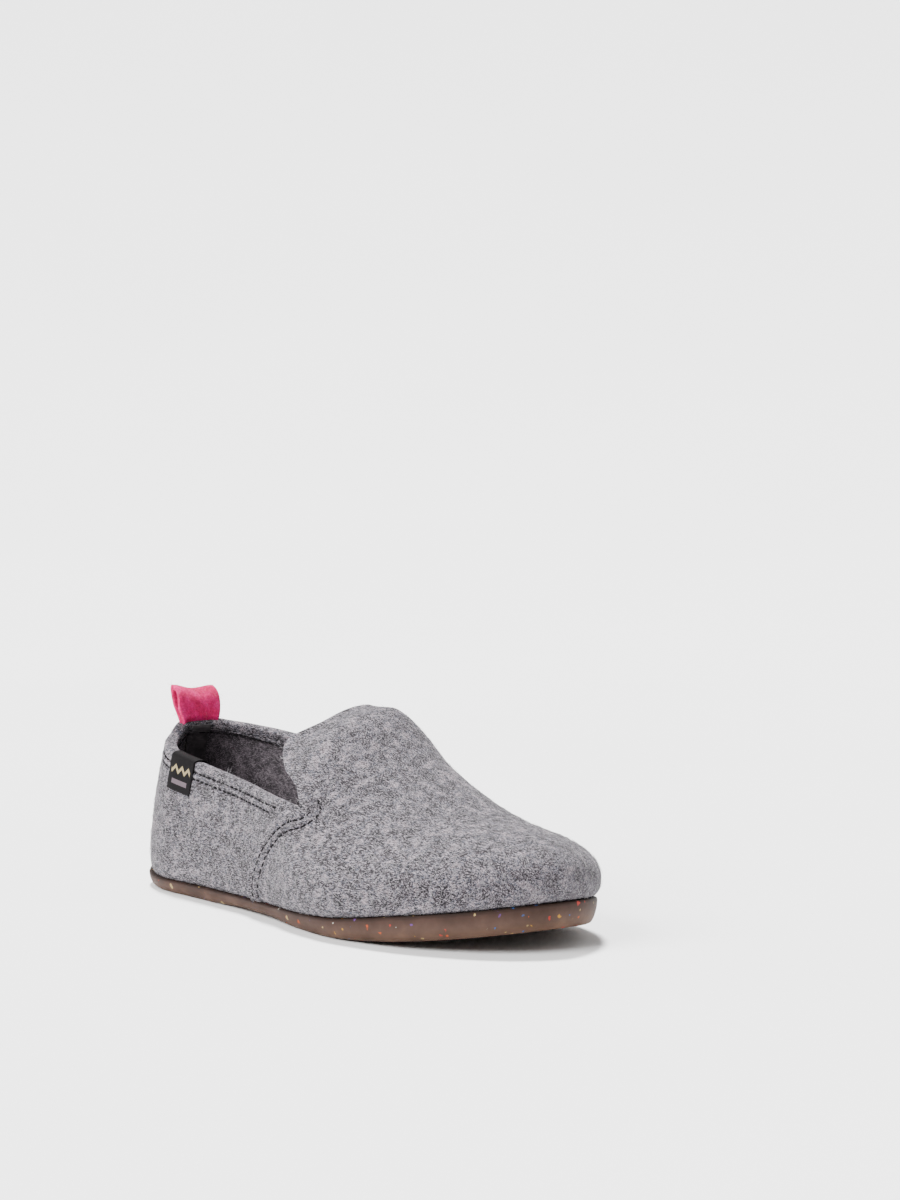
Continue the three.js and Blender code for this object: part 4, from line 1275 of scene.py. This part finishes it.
# %% [markdown]
# ## Floor, light and camera
# The photograph is a studio shot on a pale sweep. Its soft main light hangs almost overhead, a little
# behind the slipper, so the shadow under the toe opens towards the camera. A wide fill stands at half
# height on the outer side. The camera stands low beside the toe with a long lens.

# %% A pale paper sweep that rises behind the slipper, square to the camera
AZIMUTH = math.radians(54)
SWEEP_WIDE = 8.0
SWEEP_BENDS_AT = 1.2
SWEEP_CURVE = 0.24


def pale_paper():
    material, tree, surface = start_material(
        "pale_paper_sweep", {"Roughness": 0.9, "Specular IOR Level": 0.1})
    place = add_node(tree, "TexCoord")
    mottle = add_node(tree, "TexNoise", {"Scale": 3.0, "Detail": 2.0}, {"Vector": place.outputs["Object"]})
    tone = add_node(tree, "ValToRGB", links={"Fac": mottle.outputs["Fac"]},
                    stops=[(0.3, linear("f3f3f3")), (0.7, linear("f6f6f6"))])
    tree.links.new(tone.outputs["Color"], surface.inputs["Base Color"])
    return material


def paper_sweep():
    """A sheet, flat under the slipper and curving up behind it."""
    run = np.concatenate([[4.0], np.linspace(-SWEEP_BENDS_AT, -3.4, 40)])
    rise = SWEEP_CURVE * np.maximum(0, -SWEEP_BENDS_AT - run) ** 2
    points = []
    for wide in (-SWEEP_WIDE / 2, SWEEP_WIDE / 2):
        x = run * math.sin(AZIMUTH) + wide * math.cos(AZIMUTH)
        y = -run * math.cos(AZIMUTH) + wide * math.sin(AZIMUTH)
        points.append(np.stack([x, y, rise], axis=-1))
    mesh = bpy.data.meshes.new("paper_sweep")
    mesh.from_pydata(np.concatenate(points).tolist(), [], grid_faces(2, len(run)).tolist())
    mesh.shade_smooth()
    mesh.materials.append(pale_paper())
    sheet = bpy.data.objects.new("paper_sweep", mesh)
    bpy.context.collection.objects.link(sheet)
    return sheet


floor = paper_sweep()
print("sweep:", len(floor.data.polygons), "faces")

# %% Soft studio light: a faint room, a main lamp almost overhead and a wide fill from the outer side
world = bpy.data.worlds.new("studio")
bpy.context.scene.world = world
world.use_nodes = True
world.node_tree.nodes["Background"].inputs["Color"].default_value = (1, 1, 1, 1)
world.node_tree.nodes["Background"].inputs["Strength"].default_value = 0.5


def far_lamp(name, towards, wide, strength):
    """A lamp so far off that its light is even: the way to it, its width in degrees and its strength."""
    data = bpy.data.lights.new(name, "SUN")
    data.angle = math.radians(wide)
    data.energy = strength
    light = bpy.data.objects.new(name, data)
    bpy.context.collection.objects.link(light)
    light.rotation_euler = Vector(towards).to_track_quat("Z", "Y").to_euler()
    return light


key = far_lamp("key_lamp", (-0.28, 0.15, 0.95), 10, 9.6)
fill = far_lamp("fill_lamp", (0.02, -0.8, 0.6), 40, 5.4)
print("lamps:", key.name, fill.name)

# %% The camera
ELEVATION = math.radians(7.8)
AIM_FROM_HEEL = Vector((128.0, 0.0, 30.7))
AWAY = 1.498
FOCAL = 3723.0
FRAME_HEIGHT = 1200.0
AIM_PIXEL = (355.0, 836.0)
CENTRE_PIXEL = (450.0, 600.0)

target = (AIM_FROM_HEEL + Vector(HEEL_BACK)) / 1000
level = math.cos(ELEVATION)
back = Vector((math.sin(AZIMUTH) * level, -math.cos(AZIMUTH) * level, math.sin(ELEVATION)))
camera = bpy.data.objects.new("camera", bpy.data.cameras.new("camera"))
bpy.context.collection.objects.link(camera)
camera.location = target + back * AWAY
camera.data.sensor_fit = "VERTICAL"
camera.data.sensor_height = 36
camera.data.lens = FOCAL * 36 / FRAME_HEIGHT
camera.data.clip_end = 50
offset = ((AIM_PIXEL[0] - CENTRE_PIXEL[0]) / FOCAL, -(AIM_PIXEL[1] - CENTRE_PIXEL[1]) / FOCAL)
look = target.copy()
for _ in range(4):
    camera.rotation_euler = (look - camera.location).to_track_quat("-Z", "Y").to_euler()
    bpy.context.view_layer.update()
    seen = camera.matrix_world.inverted() @ target
    error = (seen.x / -seen.z - offset[0], seen.y / -seen.z - offset[1])
    turn = camera.matrix_world.to_3x3()
    look += turn @ Vector((error[0], error[1], 0)) * (look - camera.location).length
bpy.context.scene.camera = camera
print("camera at", [round(v, 3) for v in camera.location], "lens", round(camera.data.lens, 1))
